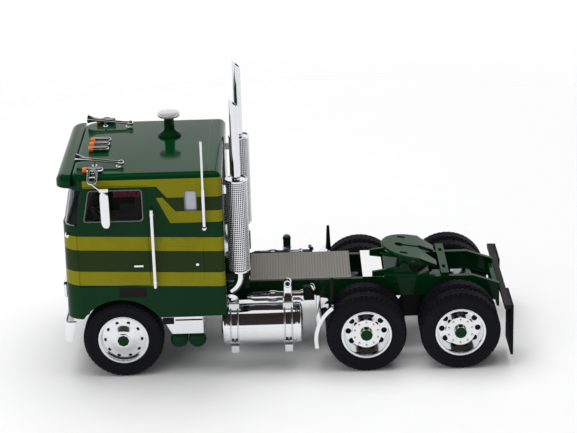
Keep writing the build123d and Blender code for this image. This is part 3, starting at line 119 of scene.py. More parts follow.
def soft_box(name, place, size, power):
    """Square area lamp at a place in metres, turned to the model."""
    lamp_data = bpy.data.lights.new(name, "AREA")
    lamp_data.size = size
    lamp_data.energy = power
    lamp = bpy.data.objects.new(name, lamp_data)
    lamp.location = place
    lamp.visible_glossy = False
    lamp.rotation_euler = (lamp_aim - Vector(place)).to_track_quat("-Z", "Y").to_euler()
    bpy.context.scene.collection.objects.link(lamp)


soft_box("key", key_place, key_size, key_power)
soft_box("front", front_place, front_size, front_power)


# Finishes: plating, enamel and moulded plastic are never quite even, so they all share one node
# group of noise that shifts the colour, the roughness and the skin at the real grain's scale.
def grain_group():
    """Node group: colour, roughness and normal varied by noise in the piece's own coordinates."""
    group = bpy.data.node_groups.new("grain", "ShaderNodeTree")
    for name, kind, fallback in (
            ("Colour", "NodeSocketColor", (0.5, 0.5, 0.5, 1)), ("Shift", "NodeSocketFloat", 0.1),
            ("Smoothest", "NodeSocketFloat", 0.3), ("Roughest", "NodeSocketFloat", 0.4),
            ("Grain", "NodeSocketFloat", 2000.0), ("Relief", "NodeSocketFloat", 0.00001)):
        socket = group.interface.new_socket(name, in_out="INPUT", socket_type=kind)
        socket.default_value = fallback
    for name, kind in (("Colour", "NodeSocketColor"), ("Roughness", "NodeSocketFloat"),
                       ("Normal", "NodeSocketVector")):
        group.interface.new_socket(name, in_out="OUTPUT", socket_type=kind)
    given = group.nodes.new("NodeGroupInput")
    result = group.nodes.new("NodeGroupOutput")
    place = shader_node(group, "TexCoord")
    fine = shader_node(group, "TexNoise", Detail=3.0)
    connect(group, place.outputs["Object"], fine.inputs["Vector"])
    connect(group, given.outputs["Grain"], fine.inputs["Scale"])
    broad = shader_node(group, "TexNoise", Scale=90.0, Detail=4.0)
    connect(group, place.outputs["Object"], broad.inputs["Vector"])
    both = shader_node(group, "Math", "MULTIPLY_ADD")
    both.inputs[1].default_value = 0.5
    connect(group, fine.outputs["Fac"], both.inputs[0])
    connect(group, broad.outputs["Fac"], both.inputs[2])
    swing = shader_node(group, "MapRange", From_Min=0.45, From_Max=1.05, To_Min=-1.0, To_Max=1.0)
    connect(group, both.outputs[0], swing.inputs["Value"])
    depth = shader_node(group, "Math", "MULTIPLY_ADD")
    depth.inputs[2].default_value = 1.0
    connect(group, swing.outputs["Result"], depth.inputs[0])
    connect(group, given.outputs["Shift"], depth.inputs[1])
    tint = shader_node(group, "HueSaturation")
    connect(group, given.outputs["Colour"], tint.inputs["Color"])
    connect(group, depth.outputs[0], tint.inputs["Value"])
    connect(group, tint.outputs["Color"], result.inputs["Colour"])
    dull = shader_node(group, "MapRange", From_Min=0.3, From_Max=0.7)
    connect(group, broad.outputs["Fac"], dull.inputs["Value"])
    connect(group, given.outputs["Smoothest"], dull.inputs["To Min"])
    connect(group, given.outputs["Roughest"], dull.inputs["To Max"])
    connect(group, dull.outputs["Result"], result.inputs["Roughness"])
    skin = shader_node(group, "Bump")
    connect(group, given.outputs["Relief"], skin.inputs["Distance"])
    connect(group, fine.outputs["Fac"], skin.inputs["Height"])
    connect(group, skin.outputs["Normal"], result.inputs["Normal"])
    return group


grain = grain_group()


def finish(name, colour, smoothest, roughest, shift=0.1, grain_mm=0.5, relief_mm=0.005, **constants):
    """Material with the shared grain; other sockets of the shader are given by name."""
    material = bpy.data.materials.new(name)
    material.use_nodes = True
    tree = material.node_tree
    shader = tree.nodes["Principled BSDF"]
    for socket, value in constants.items():
        shader.inputs[socket.replace("_", " ")].default_value = value
    varied = shader_node(tree, "Group")
    varied.node_tree = grain
    for socket, value in (("Colour", (*colour, 1)), ("Shift", shift), ("Smoothest", smoothest),
                          ("Roughest", roughest), ("Grain", 1 / (grain_mm * mm)),
                          ("Relief", relief_mm * mm)):
        varied.inputs[socket].default_value = value
    for socket, target in (("Colour", "Base Color"), ("Roughness", "Roughness"), ("Normal", "Normal")):
        connect(tree, varied.outputs[socket], shader.inputs[target])
    return material


# Floor and flag: a pale paper sweep that thins out into the white sky, and a dark cloth hung all
# round it. Only the flag's mirror image shows, as the dark upper half of every plated piece.
floor_half = 3.0
floor_full, floor_gone = 0.12, 0.40           # metres from the truck where the floor thins and ends
flag_distance = 1200.0
flag_low_near, flag_low_far = 12.0, 38.0      # degrees above the floor, at the camera's side and beyond
flag_top = 80.0
flag_around, flag_up = 96, 24


def lace(rows, columns, around_rows=False, around_columns=False):
    """Four-cornered faces over a grid of points, as index rows; a grid may close on itself."""
    row = np.arange(rows if around_rows else rows - 1)
    column = np.arange(columns if around_columns else columns - 1)
    r, c = np.meshgrid(row, column, indexing="ij")
    r_next = (r + 1) % rows
    c_next = (c + 1) % columns
    corners = (r * columns + c, r * columns + c_next, r_next * columns + c_next, r_next * columns + c)
    return np.stack(corners, -1).reshape(-1, 4)


def grid(first, second):
    """Every pair from two runs of values, as two flat arrays; the second run changes fastest."""
    return (part.ravel() for part in np.meshgrid(first, second, indexing="ij"))


def mesh_from(name, parts):
    """Mesh of several (points in millimetres, faces) parts: welded, and its faces turned outward."""
    points = np.concatenate([part[0] for part in parts])
    starts = np.cumsum([0] + [len(part[0]) for part in parts[:-1]])
    faces = [(np.asarray(face) + start).tolist()
             for part, start in zip(parts, starts) for face in part[1]]
    mesh = bpy.data.meshes.new(name)
    mesh.from_pydata((points * mm).tolist(), [], faces)
    mesh.validate()
    working = bmesh.new()
    working.from_mesh(mesh)
    bmesh.ops.remove_doubles(working, verts=working.verts, dist=0.001 * mm)
    bmesh.ops.recalc_face_normals(working, faces=working.faces)
    working.to_mesh(mesh)
    working.free()
    return mesh


def staged(name, part, material):
    """Object of the studio, not of the truck."""
    thing = bpy.data.objects.new(name, mesh_from(name, [part]))
    thing.data.materials.append(material)
    bpy.context.scene.collection.objects.link(thing)
    return thing


floor_paper = finish("pale_floor", (0.95, 0.95, 0.955), 0.55, 0.7, shift=0.01, grain_mm=3.0,
                     relief_mm=0.01)
paper_tree = floor_paper.node_tree
paper_place = shader_node(paper_tree, "TexCoord")
paper_away = shader_node(paper_tree, "VectorMath", "LENGTH")
connect(paper_tree, paper_place.outputs["Object"], paper_away.inputs[0])
paper_thin = shader_node(paper_tree, "MapRange", From_Min=floor_full, From_Max=floor_gone)
paper_thin.interpolation_type = "SMOOTHSTEP"
connect(paper_tree, paper_away.outputs["Value"], paper_thin.inputs["Value"])
paper_clear = shader_node(paper_tree, "BsdfTransparent")
paper_mix = shader_node(paper_tree, "MixShader")
for source, target in ((paper_thin.outputs["Result"], paper_mix.inputs[0]),
                       (paper_tree.nodes["Principled BSDF"].outputs[0], paper_mix.inputs[1]),
                       (paper_clear.outputs[0], paper_mix.inputs[2]),
                       (paper_mix.outputs[0], paper_tree.nodes["Material Output"].inputs["Surface"])):
    connect(paper_tree, source, target)
floor_corners = np.array(((-1, -1, 0), (1, -1, 0), (1, 1, 0), (-1, 1, 0))) * floor_half / mm
staged("floor", (floor_corners, [[0, 1, 2, 3]]), floor_paper)

flag_turn, flag_rise = grid(np.radians(np.linspace(0, 360, flag_around, endpoint=False)),
                            np.linspace(0, 1, flag_up))
flag_low = flag_low_far + (flag_low_near - flag_low_far) * (0.5 + 0.5 * np.sin(flag_turn))
flag_height = np.radians(flag_low + (flag_top - flag_low) * flag_rise)
flag_points = flag_distance * np.stack((
    np.cos(flag_height) * np.cos(flag_turn), np.cos(flag_height) * np.sin(flag_turn), np.sin(flag_height)), 1)
flag = staged("flag", (flag_points, lace(flag_around, flag_up, around_rows=True)),
              finish("flag_cloth", (0.060, 0.050, 0.046), 0.8, 0.9, shift=0.2, grain_mm=40.0,
                     relief_mm=1.0))
for rays in ("camera", "diffuse", "transmission", "volume_scatter", "shadow"):
    setattr(flag, "visible_" + rays, False)


# Cab and visor: die-cast shells in deep green gloss enamel, the cab printed with olive gold bands.
# The side bands break down in a step behind the door, and two belts run round at the handle's height.
enamel_green = (0.0015, 0.033, 0.009)
band_gold = (0.245, 0.232, 0.004)
band_olive = (0.018, 0.036, 0.006)
band_front, stripe_front = 11.9, 9.6          # ends of belts and side bands, ahead of the front axle
band_fall = 0.035            # the belts sink this much towards the rear
corner_line = 0.15           # bare enamel along the cab's rear corner
side_reach = 1.6             # the side bands end this far in from the cab's widest line
upper_top = 67.4
upper_step = (-13.2, 65.05, 1.2, 61.3)        # an edge's corner from the axle, height, lean, height behind
chevron_top_step = (-15.0, 61.3, 1.2, 56.7)
chevron_low_step = (-13.0, 61.3, 2.1, 52.9)
field_front = -15.9
belt_high, belt_low = (44.6, 49.2), (32.7, 37.4)

axle_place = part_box("front_axle_rod")
front_axle_x = (axle_place[0].x + axle_place[1].x) / 2 / mm
cab_low, cab_high = (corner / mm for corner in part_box("cab_shell"))
node_body = {node: body for body, members in frame["record"]["behaviour"]["bodies"].items()
             for node in members}


def place_mesh(name, mesh, material, like, sharp):
    """Object for a mesh, smooth but for its sharp edges, that rides where a node rides."""
    mesh.materials.append(material)
    mesh.polygons.foreach_set("use_smooth", np.ones(len(mesh.polygons), bool))
    mesh.set_sharp_from_angle(angle=math.radians(sharp))
    piece = bpy.data.objects.new(name, mesh)
    bpy.context.scene.collection.objects.link(piece)
    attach(piece, node_body[like])
    return piece


def dressed(node, material, bevel_mm=0.12, sharp=32.0):
    """Copy of a node's mesh with its points merged and its edges lightly rounded, in its place."""
    mesh = frame["nodes"][node].data.copy()
    mesh.name = node + "_dressed"
    mesh.materials.clear()
    working = bmesh.new()
    working.from_mesh(mesh)
    bmesh.ops.remove_doubles(working, verts=working.verts, dist=0.002 * mm)
    bmesh.ops.dissolve_limit(working, angle_limit=math.radians(0.3), verts=working.verts,
                             edges=working.edges)
    working.to_mesh(mesh)
    working.free()
    if "custom_normal" in mesh.attributes:
        mesh.attributes.remove(mesh.attributes["custom_normal"])
    piece = place_mesh(node + "_dressed", mesh, material, node, sharp)
    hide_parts(node)
    if bevel_mm:
        rounded = piece.modifiers.new("edges", "BEVEL")
        rounded.width = bevel_mm * mm
        rounded.segments = 2
        rounded.limit_method = "ANGLE"
        rounded.angle_limit = math.radians(sharp)
        rounded.use_clamp_overlap = True
        rounded.harden_normals = True


def band_group():
    """Node group: mask of the gold bands and mask of the olive fields, from a place in the cab."""
    group = bpy.data.node_groups.new("bands", "ShaderNodeTree")
    for name in ("Gold", "Olive"):
        group.interface.new_socket(name, in_out="OUTPUT", socket_type="NodeSocketFloat")
    result = group.nodes.new("NodeGroupOutput")
    place = shader_node(group, "TexCoord")
    split = shader_node(group, "SeparateXYZ")
    connect(group, place.outputs["Object"], split.inputs["Vector"])

    def calculate(operation, *terms):
        node = shader_node(group, "Math", operation)
        for socket, term in zip(node.inputs, terms):
            if isinstance(term, (int, float)):
                socket.default_value = term
            else:
                connect(group, term, socket)
        return node.outputs[0]

    def above(value, limit):
        return calculate("GREATER_THAN", value, limit)

    def below(value, limit):
        return calculate("LESS_THAN", value, limit)

    def within(value, limits):
        return calculate("MULTIPLY", above(value, limits[0]), below(value, limits[1]))

    def join(operation, joined, *others):
        """MULTIPLY keeps what every mask covers, MAXIMUM what any mask covers."""
        for mask in others:
            joined = calculate(operation, joined, mask)
        return joined

    def step_edge(corner_x, corner_z, lean, after_z):
        """Height of a band's edge that falls along a slant behind a corner, then runs level."""
        slant = calculate("MULTIPLY_ADD", x, lean, corner_z - lean * corner_x)
        return calculate("MINIMUM", calculate("MAXIMUM", slant, after_z), corner_z)

    x = calculate("MULTIPLY_ADD", split.outputs["X"], 1 / mm, -front_axle_x)
    y = calculate("MULTIPLY", calculate("ABSOLUTE", split.outputs["Y"]), 1 / mm)
    z = calculate("MULTIPLY", split.outputs["Z"], 1 / mm)
    belt_z = calculate("MULTIPLY_ADD", calculate("SUBTRACT", band_front, x), band_fall, z)
    on_side = calculate("MULTIPLY", above(y, cab_high.y - side_reach), below(x, stripe_front))
    painted = above(x, cab_low.x - front_axle_x + corner_line)
    upper_low = step_edge(*upper_step)
    chevron_top = step_edge(*chevron_top_step)
    upper = join("MULTIPLY", below(z, upper_top), above(z, upper_low), on_side)
    chevron = join("MULTIPLY", below(x, chevron_low_step[0]), below(z, chevron_top),
                   above(z, step_edge(*chevron_low_step)), on_side)
    field = join("MULTIPLY", above(z, chevron_top), below(z, upper_low), below(x, field_front), on_side)
    gold = join("MAXIMUM", upper, chevron, within(belt_z, belt_high), within(belt_z, belt_low))
    olive = join("MAXIMUM", field, within(belt_z, (belt_low[1], belt_high[0])))
    connect(group, calculate("MULTIPLY", gold, painted), result.inputs["Gold"])
    connect(group, calculate("MULTIPLY", olive, painted), result.inputs["Olive"])
    return group


def enamel(name):
    """Green gloss enamel."""
    return finish(name, enamel_green, 0.07, 0.12, shift=0.12, grain_mm=0.7, relief_mm=0.0004,
                  Specular_IOR_Level=0.10)


plain_enamel = enamel("plain_enamel")
banded_enamel = enamel("banded_enamel")
print_tree = banded_enamel.node_tree
bands = shader_node(print_tree, "Group")
bands.node_tree = band_group()
under = None
for mask, colour in (("Olive", band_olive), ("Gold", band_gold)):
    ink = shader_node(print_tree, "Mix")
    ink.data_type = "RGBA"
    connect(print_tree, bands.outputs[mask], ink.inputs["Factor"])
    if under:
        connect(print_tree, under, ink.inputs["A"])
    else:
        ink.inputs["A"].default_value = (*enamel_green, 1)
    ink.inputs["B"].default_value = (*colour, 1)
    under = ink.outputs["Result"]
varied_enamel = print_tree.nodes["Principled BSDF"].inputs["Base Color"].links[0].from_node
connect(print_tree, under, varied_enamel.inputs["Colour"])
dressed("cab_shell", banded_enamel, bevel_mm=0.1)
dressed("roof_visor", plain_enamel, bevel_mm=0.1)


# Window frames: thin strips of dull plated plastic round the door's glass and the bunk window. They
# are moulded on the panes' edges and stand a hair proud of the cab's side.
side_y = 28.5                # the cab's side
frame_half = 0.15
side_glass = ((62.95, 53.9), (60.95, 64.1), (44.45, 64.1), (44.45, 53.9))
sleeper_glass = ((31.25, 56.9), (31.25, 63.3), (27.65, 63.3), (27.65, 56.9))


def eased(corners, reach, steps=6):
    """Closed outline whose corners become short curves that start a reach away on each side."""
    corners = np.asarray(corners, float)
    back = np.roll(corners, 1, 0) - corners
    on = np.roll(corners, -1, 0) - corners
    back /= np.linalg.norm(back, axis=1, keepdims=True)
    on /= np.linalg.norm(on, axis=1, keepdims=True)
    t = np.linspace(0, 1, steps)[None, :, None]
    first, last = (corners + back * reach)[:, None], (corners + on * reach)[:, None]
    return (first * (1 - t) ** 2 + 2 * corners[:, None] * t * (1 - t) + last * t ** 2).reshape(
        -1, corners.shape[1])


def tube(path, radius, side, around=20, closed=False):
    """Round bar: a circle square to a path is carried along it, and each free end is a half ball."""
    path = np.asarray(path, float)
    radius = np.broadcast_to(np.asarray(radius, float), (len(path),))
    if closed:
        run = np.roll(path, -1, 0) - np.roll(path, 1, 0)
    else:
        run = np.gradient(path, axis=0)
    run = run / np.linalg.norm(run, axis=1, keepdims=True)
    if not closed:
        cap = np.radians(np.linspace(90, 0, 6))[:, None]
        path = np.concatenate((path[0] + run[0] * radius[0] * (1 - np.sin(cap)), path[1:-1],
                               (path[-1] - run[-1] * radius[-1] * (1 - np.sin(cap)))[::-1]))
        radius = np.concatenate((radius[0] * np.cos(cap[:, 0]), radius[1:-1],
                                 (radius[-1] * np.cos(cap[:, 0]))[::-1]))
        run = np.concatenate((np.repeat(run[:1], 6, 0), run[1:-1], np.repeat(run[-1:], 6, 0)))
    side = np.asarray(side, float) - run * (run @ np.asarray(side, float))[:, None]
    side /= np.linalg.norm(side, axis=1, keepdims=True)
    other = np.cross(run, side)
    angle = np.linspace(0, 2 * math.pi, around, endpoint=False)[None, :, None]
    points = path[:, None] + radius[:, None, None] * (np.cos(angle) * side[:, None]
                                                      + np.sin(angle) * other[:, None])
    return points.reshape(-1, 3), lace(len(path), around, closed, True)


def both_sides(*parts):
    """The parts and their mirror images on the truck's other side."""
    return list(parts) + [(points * np.array((1, -1, 1)), faces) for points, faces in parts]


def outline_bar(corners, reach):
    """Closed round bar along an eased outline on the cab's side."""
    return tube(np.insert(eased(corners, reach), 1, side_y, axis=1), frame_half, (0, 1, 0), 10, True)


def extra(name, parts, material, like, sharp=35.0):
    """Piece that no node stands for; it rides with the node it is like."""
    return place_mesh(name, mesh_from(name, parts), material, like, sharp)


dull_trim = finish("dull_trim", (0.20, 0.23, 0.22), 0.25, 0.4, shift=0.08, grain_mm=0.4,
                   relief_mm=0.002, Metallic=0.5)
extra("window_frames", both_sides(outline_bar(side_glass, 1.0), outline_bar(sleeper_glass, 0.7)),
      dull_trim, "grille")


# Hatch and roof seam: the locker's door is a fine line engraved in the cab's side under four hinge
# barrels, and a rounded line crosses the roof. All are in the casting, under the enamel and print.
hatch_corners = ((38.85, 33.3), (38.85, 45.1), (26.05, 45.1), (26.05, 33.3))
hatch_front, hatch_rear = (41.0, 32.7), (24.9, 47.9)      # the skin's front low and rear high corners
skin_steps = (161, 153)
skin_lift, skin_sink, skin_rim = 0.07, 0.02, 0.6
line_depth = line_half = 0.16
hinge_xs = (39.3, 35.5, 31.4, 27.6)
hinge_half, hinge_z, hinge_r = 0.6, 47.6, 0.2
roof_z = 69.0
seam_x, seam_reach, seam_r = 24.1, 26.0, 0.14

skin_x, skin_z = grid(np.linspace(hatch_front[0], hatch_rear[0], skin_steps[0]),
                      np.linspace(hatch_front[1], hatch_rear[1], skin_steps[1]))
hatch_x, hatch_z = np.mean(hatch_corners, axis=0)
hatch_half_x, hatch_half_z = np.ptp(hatch_corners, axis=0) / 2
from_line = np.abs(np.maximum(np.abs(skin_x - hatch_x) - hatch_half_x,
                              np.abs(skin_z - hatch_z) - hatch_half_z))
from_rim = np.minimum.reduce((hatch_front[0] - skin_x, skin_x - hatch_rear[0],
                              skin_z - hatch_front[1], hatch_rear[1] - skin_z))
skin_y = (side_y + skin_lift * np.clip(from_rim / skin_rim, 0, 1) - skin_sink
          - line_depth * np.clip(1 - from_line / line_half, 0, 1))
extra("hatch_skins", both_sides((np.stack((skin_x, skin_y, skin_z), 1), lace(*skin_steps))),
      banded_enamel, "cab_shell")
extra("hatch_hinges", both_sides(*[
    tube([(x + way * hinge_half, side_y + 0.05, hinge_z) for way in (-1, 1)], hinge_r, (0, 1, 0), 10)
    for x in hinge_xs]), banded_enamel, "grille")
extra("roof_seam", [tube([(seam_x, y, roof_z + 0.02) for y in np.linspace(-seam_reach, seam_reach, 9)],
                         seam_r, (1, 0, 0), 10)], plain_enamel, "cab_shell")


# Glazing: one thin clear moulding for the windscreen and one for each side, clipped in from inside.
# The small bunk windows are of a milky plastic.
pane = finish("tinted_pane", (0.56, 0.58, 0.59), 0.02, 0.05, shift=0.01, grain_mm=2.0, relief_mm=0.0005,
              Transmission_Weight=1.0, IOR=1.12)
sleeper_pane = finish("pale_pane", (0.55, 0.54, 0.64), 0.2, 0.3, shift=0.05, grain_mm=0.6,
                      relief_mm=0.002)
for node, material in (("windscreen", pane), ("side_windows", pane), ("sleeper_windows", sleeper_pane)):
    dressed(node, material, bevel_mm=0.0)


# Cab inside: one grey plastic moulding with the floor, dash and bunk, moulded seats with head rests,
# a black steering wheel, and a black slab in the step's well in the cab's side, as painted shade.
step_recess = ((44.65, 28.2), (53.25, 28.2), (53.25, 31.4), (44.65, 31.4))
step_y = (side_y - 0.6, side_y - 0.06)
rest_outline = ((46.2, 55.2), (47.6, 55.2), (47.2, 59.4), (45.6, 59.4))
rest_y = (12.5, 19.5)


def slab(outline, low, high, axis):
    """Prism: a flat outline carried from one place to another along an axis, with both ends closed."""
    outline = np.asarray(outline, float)
    count = len(outline)
    flat = np.insert(outline, axis, low, axis=1)
    far = np.insert(outline, axis, high, axis=1)
    return (np.concatenate((flat, far)), lace(2, count, around_columns=True).tolist()
            + [list(range(count)), list(range(count, 2 * count))])


grey_plastic = finish("grey_plastic", (0.060, 0.052, 0.062), 0.5, 0.65, shift=0.15, grain_mm=0.25,
                      relief_mm=0.01, Specular_IOR_Level=0.2)
black_plastic = finish("black_plastic", (0.007, 0.007, 0.008), 0.4, 0.55, shift=0.2, grain_mm=0.3,
                       relief_mm=0.006, Specular_IOR_Level=0.12)
dressed("cab_interior", grey_plastic)
dressed("seats", grey_plastic, bevel_mm=0.5)
dressed("steering_wheel", black_plastic, bevel_mm=0.1)
extra("head_rests", both_sides(slab(eased(rest_outline, 0.5), *rest_y, 1)), grey_plastic, "seats")
# black slab in each step well: painted shade of the recess
extra("step_well_shade", both_sides(slab(eased(step_recess, 0.3), *step_y, 1)), black_plastic,
      "steering_wheel")


# Curtain: burgundy plastic moulded as a hanging cloth with upright pleats, deeper at the hem, set
# across the cab behind the seats with a short wing along each side window.
pleat_depth, pleat_pitch = 0.35, 1.5
pleat_steps = (241, 9)
curtain_x, curtain_half, curtain_z = 41.15, 26.8, (42.8, 67.7)
wing_x, wing_y, wing_z = (45.0, 53.6), 24.4, (60.6, 67.7)
curtain_sheet = 0.25


def pleats(first, last, depth_way, low, high):
    """Pleated sheet: it waves to and fro across its line, deeper at the hem than at the rail."""
    along, up = grid(*(np.linspace(0, 1, steps) for steps in pleat_steps))
    first, last, way = (np.asarray(part, float) for part in (first, last, depth_way))
    length = np.linalg.norm(last - first)
    wave = pleat_depth * (1.1 - 0.4 * up) * np.sin(2 * math.pi * along * length / pleat_pitch)
    points = first + along[:, None] * (last - first) + wave[:, None] * way
    return np.concatenate((points, (low + (high - low) * up)[:, None]), 1), lace(*pleat_steps)


def stand_in(name, parts, material, *nodes, sharp=35.0):
    """Piece of new parts that takes the place of nodes and rides as they do."""
    piece = extra(name, parts, material, nodes[0], sharp)
    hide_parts(*nodes)
    return piece


def thicken(piece, wall, offset):
    """Give a sheet its wall: offset 0 grows it both ways, -1 inwards."""
    sheet = piece.modifiers.new("sheet", "SOLIDIFY")
    sheet.thickness = wall * mm
    sheet.offset = offset


curtain_plastic = finish("curtain_plastic", (0.30, 0.016, 0.06), 0.55, 0.75, shift=0.2, grain_mm=0.3,
                         relief_mm=0.01)
curtain_back = pleats((curtain_x, -curtain_half), (curtain_x, curtain_half), (1, 0), *curtain_z)
curtain_wing = pleats((wing_x[0], wing_y), (wing_x[1], wing_y), (0, 1), *wing_z)
thicken(stand_in("curtain", [curtain_back] + both_sides(curtain_wing), curtain_plastic,
                 "sleeper_curtain", sharp=60), curtain_sheet, 0)


# Air horns: two plated trumpets, each a driver's bulb, a slim tube and a flared bell in one moulding,
# with two small feet that push into holes in the roof.
horn_lines = (((50.0, 20.1, 70.2), (65.2, 17.3, 71.3)), ((50.0, -20.5, 70.2), (65.2, -23.3, 71.3)))
horn_tube, horn_bell, horn_driver, horn_lip = 0.5, 1.45, 0.95, 0.12
horn_feet = (0.12, 0.62)     # shares of the horn's length
foot_profile = [(0, 0), (0, 0.9), (0.25, 0.85), (0.35, 0.4)]
foot_r = 0.35


def turned(profile, foot, along, around=64):
    """Surface of revolution: (distance along the axis, radius) points swept once round an axis."""
    along = np.asarray(along, float) / np.linalg.norm(along)
    level_line = np.array((1.0, 0, 0)) if abs(along[2]) > 0.9 else np.array((0, 0, 1.0))
    across = np.cross(along, level_line)
    across /= np.linalg.norm(across)
    up = np.cross(across, along)
    angle = np.linspace(0, 2 * math.pi, around, endpoint=False)[:, None]
    circle = np.cos(angle) * across + np.sin(angle) * up
    profile = np.asarray(profile, float)
    points = np.asarray(foot, float) + profile[:, None, :1] * along + profile[:, None, 1:] * circle
    return points.reshape(-1, 3), lace(len(profile), around, around_columns=True)


def bow(middle, radius, first, last, count=9):
    """Points of an arc in a plane, from one angle in degrees to another."""
    angle = np.radians(np.linspace(first, last, count))
    return np.stack((middle[0] + radius * np.cos(angle), middle[1] + radius * np.sin(angle)), 1)


chrome = finish("chrome", (0.80, 0.81, 0.83), 0.03, 0.07, shift=0.03, grain_mm=1.2, relief_mm=0.0006,
                Metallic=1.0)
horns = []
flare = np.linspace(0, 1, 15)
for driver, mouth in horn_lines:
    line = np.subtract(mouth, driver)
    length = np.linalg.norm(line)
    bell = np.stack((length * (0.6 + 0.4 * flare),
                     horn_tube + (horn_bell - horn_tube) * flare ** 2.6), 1)
    bowl = np.stack((length * (1.0 - 0.3 * flare), (horn_bell - horn_lip) * (1 - flare) ** 1.6), 1)
    bulb = bow((horn_driver, 0), horn_driver, 180, 40)
    neck = [(2.2, horn_tube + 0.1), (2.6, horn_tube)]
    horns.append(turned(np.concatenate((bulb, neck, bell, bowl)), driver, line))
    for share in horn_feet:
        stand = np.asarray(driver) + line * share
        horns.append(turned(foot_profile + [(stand[2] - roof_z, foot_r)], (stand[0], stand[1], roof_z),
                            (0, 0, 1), 20))
stand_in("horns", horns, chrome, "air_horns", sharp=50)


# Marker lamps: five half-round plated bodies along the roof's front, each with a ribbed amber front.
# Body and front are small mouldings, pushed into the roof one after the other.
marker_ys = (-25.2, -4.5, 0.0, 4.5, 25.2)
marker_rear, marker_split, marker_front = 56.1, 61.15, 62.6
marker_half, marker_nose = 0.92, 0.85
marker_ribs, rib_share = 5, 0.05


def markers(name, profile, x, material, node, sharp):
    """Five like turned pieces along the roof's front edge."""
    stand_in(name, [turned(profile, (x, y, roof_z + marker_half), (1, 0, 0), 32) for y in marker_ys],
             material, node, sharp=sharp)


body_length = marker_split - marker_rear
body = np.concatenate(([(0, 0)], bow((marker_nose, 0), marker_half, 180, 90),
                       [(body_length, marker_half), (body_length, 0)]))
markers("marker_bodies", body, marker_rear, chrome, "marker_light_bodies", 35.0)
rib = np.linspace(0, 1, 8 * marker_ribs + 1)
lens_length = marker_front - marker_split
lens = np.stack((lens_length * rib, (marker_half + 0.02) * np.sqrt(1 - 0.35 * rib ** 3)
                 * (1 - rib_share * np.cos(2 * math.pi * marker_ribs * rib))), 1)
lens = np.concatenate(([(0, 0)], lens, [(lens_length, 0)]))
amber = finish("amber_lens", (0.80, 0.20, 0.015), 0.1, 0.18, shift=0.1, grain_mm=0.4, relief_mm=0.003)
markers("marker_lenses", lens, marker_split, amber, "marker_light_lenses", 60.0)


# Roof vent: a green neck with a flared base, moulded with the roof, and a satin silver cap with a
# rounded rim that is pushed on its top.
vent_place = (37.45, -10.5, roof_z)
vent_neck = [(0, 0), (0, 3.7), (0.4, 3.85), (0.9, 3.6), (1.5, 2.5), (2.2, 1.75), (6.5, 1.55), (6.6, 0)]
vent_cap = [(6.4, 0), (6.4, 2.9), (6.5, 3.35), (6.8, 3.6), (7.5, 3.6), (7.8, 3.45), (8.0, 2.7),
            (8.15, 1.4), (8.2, 0)]
satin = finish("satin_silver", (0.74, 0.72, 0.75), 0.3, 0.4, shift=0.05, grain_mm=0.4, relief_mm=0.002,
               Metallic=0.6)
stand_in("vent_neck", [turned(vent_neck, vent_place, (0, 0, 1))], plain_enamel, "roof_vent_neck")
stand_in("vent_cap", [turned(vent_cap, vent_place, (0, 0, 1), 96)], satin, "roof_vent_cap", sharp=50)


# Mirrors: a tall plated head on each side, moulded in one with the slanted rod that holds it from a
# double loop on the roof's edge, and with a short arm to the door.
mirror_head = np.array((55.75, 31.6, 58.9))
mirror_half = (1.65, 0.6, 6.1)
mirror_turn = -28.0
bracket_outline = ((54.3, 31.1), (57.2, 31.1), (57.2, 32.1), (54.3, 32.1))
bracket_z = (64.9, 65.9)
loop_low, loop_high = np.array((59.35, 30.5, 67.2)), np.array((59.35, 26.6, 70.4))
loop_half_width, loop_bar, rod_bar, arm_bar = 1.25, 0.38, 0.42, 0.35
loop_foot = (59.35, 25.6, 68.9)
arm_drop, arm_foot = 9.5, (55.75, 28.3, 55.4)


def mirror_shell():
    """Upright shell: an oval section whose width shrinks to a round end, turned about its height."""
    t = np.sin(np.radians(np.linspace(-90, 90, 41)))[:, None]
    shrink = (1 - np.abs(t) ** 7) ** 0.5
    angle = np.linspace(0, 2 * math.pi, 48, endpoint=False)[None]
    wide = mirror_half[0] * shrink * np.sign(np.cos(angle)) * np.abs(np.cos(angle)) ** 0.6
    deep = mirror_half[1] * shrink * np.sign(np.sin(angle)) * np.abs(np.sin(angle)) ** 0.8
    turn = math.radians(mirror_turn)
    points = mirror_head + np.stack((wide * math.cos(turn) - deep * math.sin(turn),
                                     wide * math.sin(turn) + deep * math.cos(turn),
                                     mirror_half[2] * t + 0 * wide), -1)
    return points.reshape(-1, 3), lace(41, 48, around_columns=True)


wide_way = np.array((loop_half_width, 0, 0))
loop_square = np.cross(loop_high - loop_low, (1, 0, 0))
loop_mid = (loop_low + loop_high) / 2
loop_path = eased((loop_low - wide_way, loop_low + wide_way,
                   loop_high + wide_way, loop_high - wide_way), 1.3)
mirror_top = mirror_head + (0, 0, mirror_half[2] - 0.6)
stand_in("mirrors", both_sides(
    mirror_shell(),
    slab(eased(bracket_outline, 0.3), *bracket_z, 2),
    tube(loop_path, loop_bar, loop_square, 14, True),
    tube((loop_mid - wide_way, loop_mid + wide_way), loop_bar, loop_square, 14),
    tube((loop_low, (loop_low + mirror_top) / 2, mirror_top), rod_bar, (0, 1, 0), 14),
    tube((loop_high, loop_high + (0, -0.6, -1.2), loop_foot), (0.45, 0.5, 0.6), (1, 0, 0), 14),
    tube((mirror_top - (0, 0, arm_drop), arm_foot), arm_bar, (1, 0, 0), 14)),
    chrome, "mirror_left", "mirror_right", sharp=60)


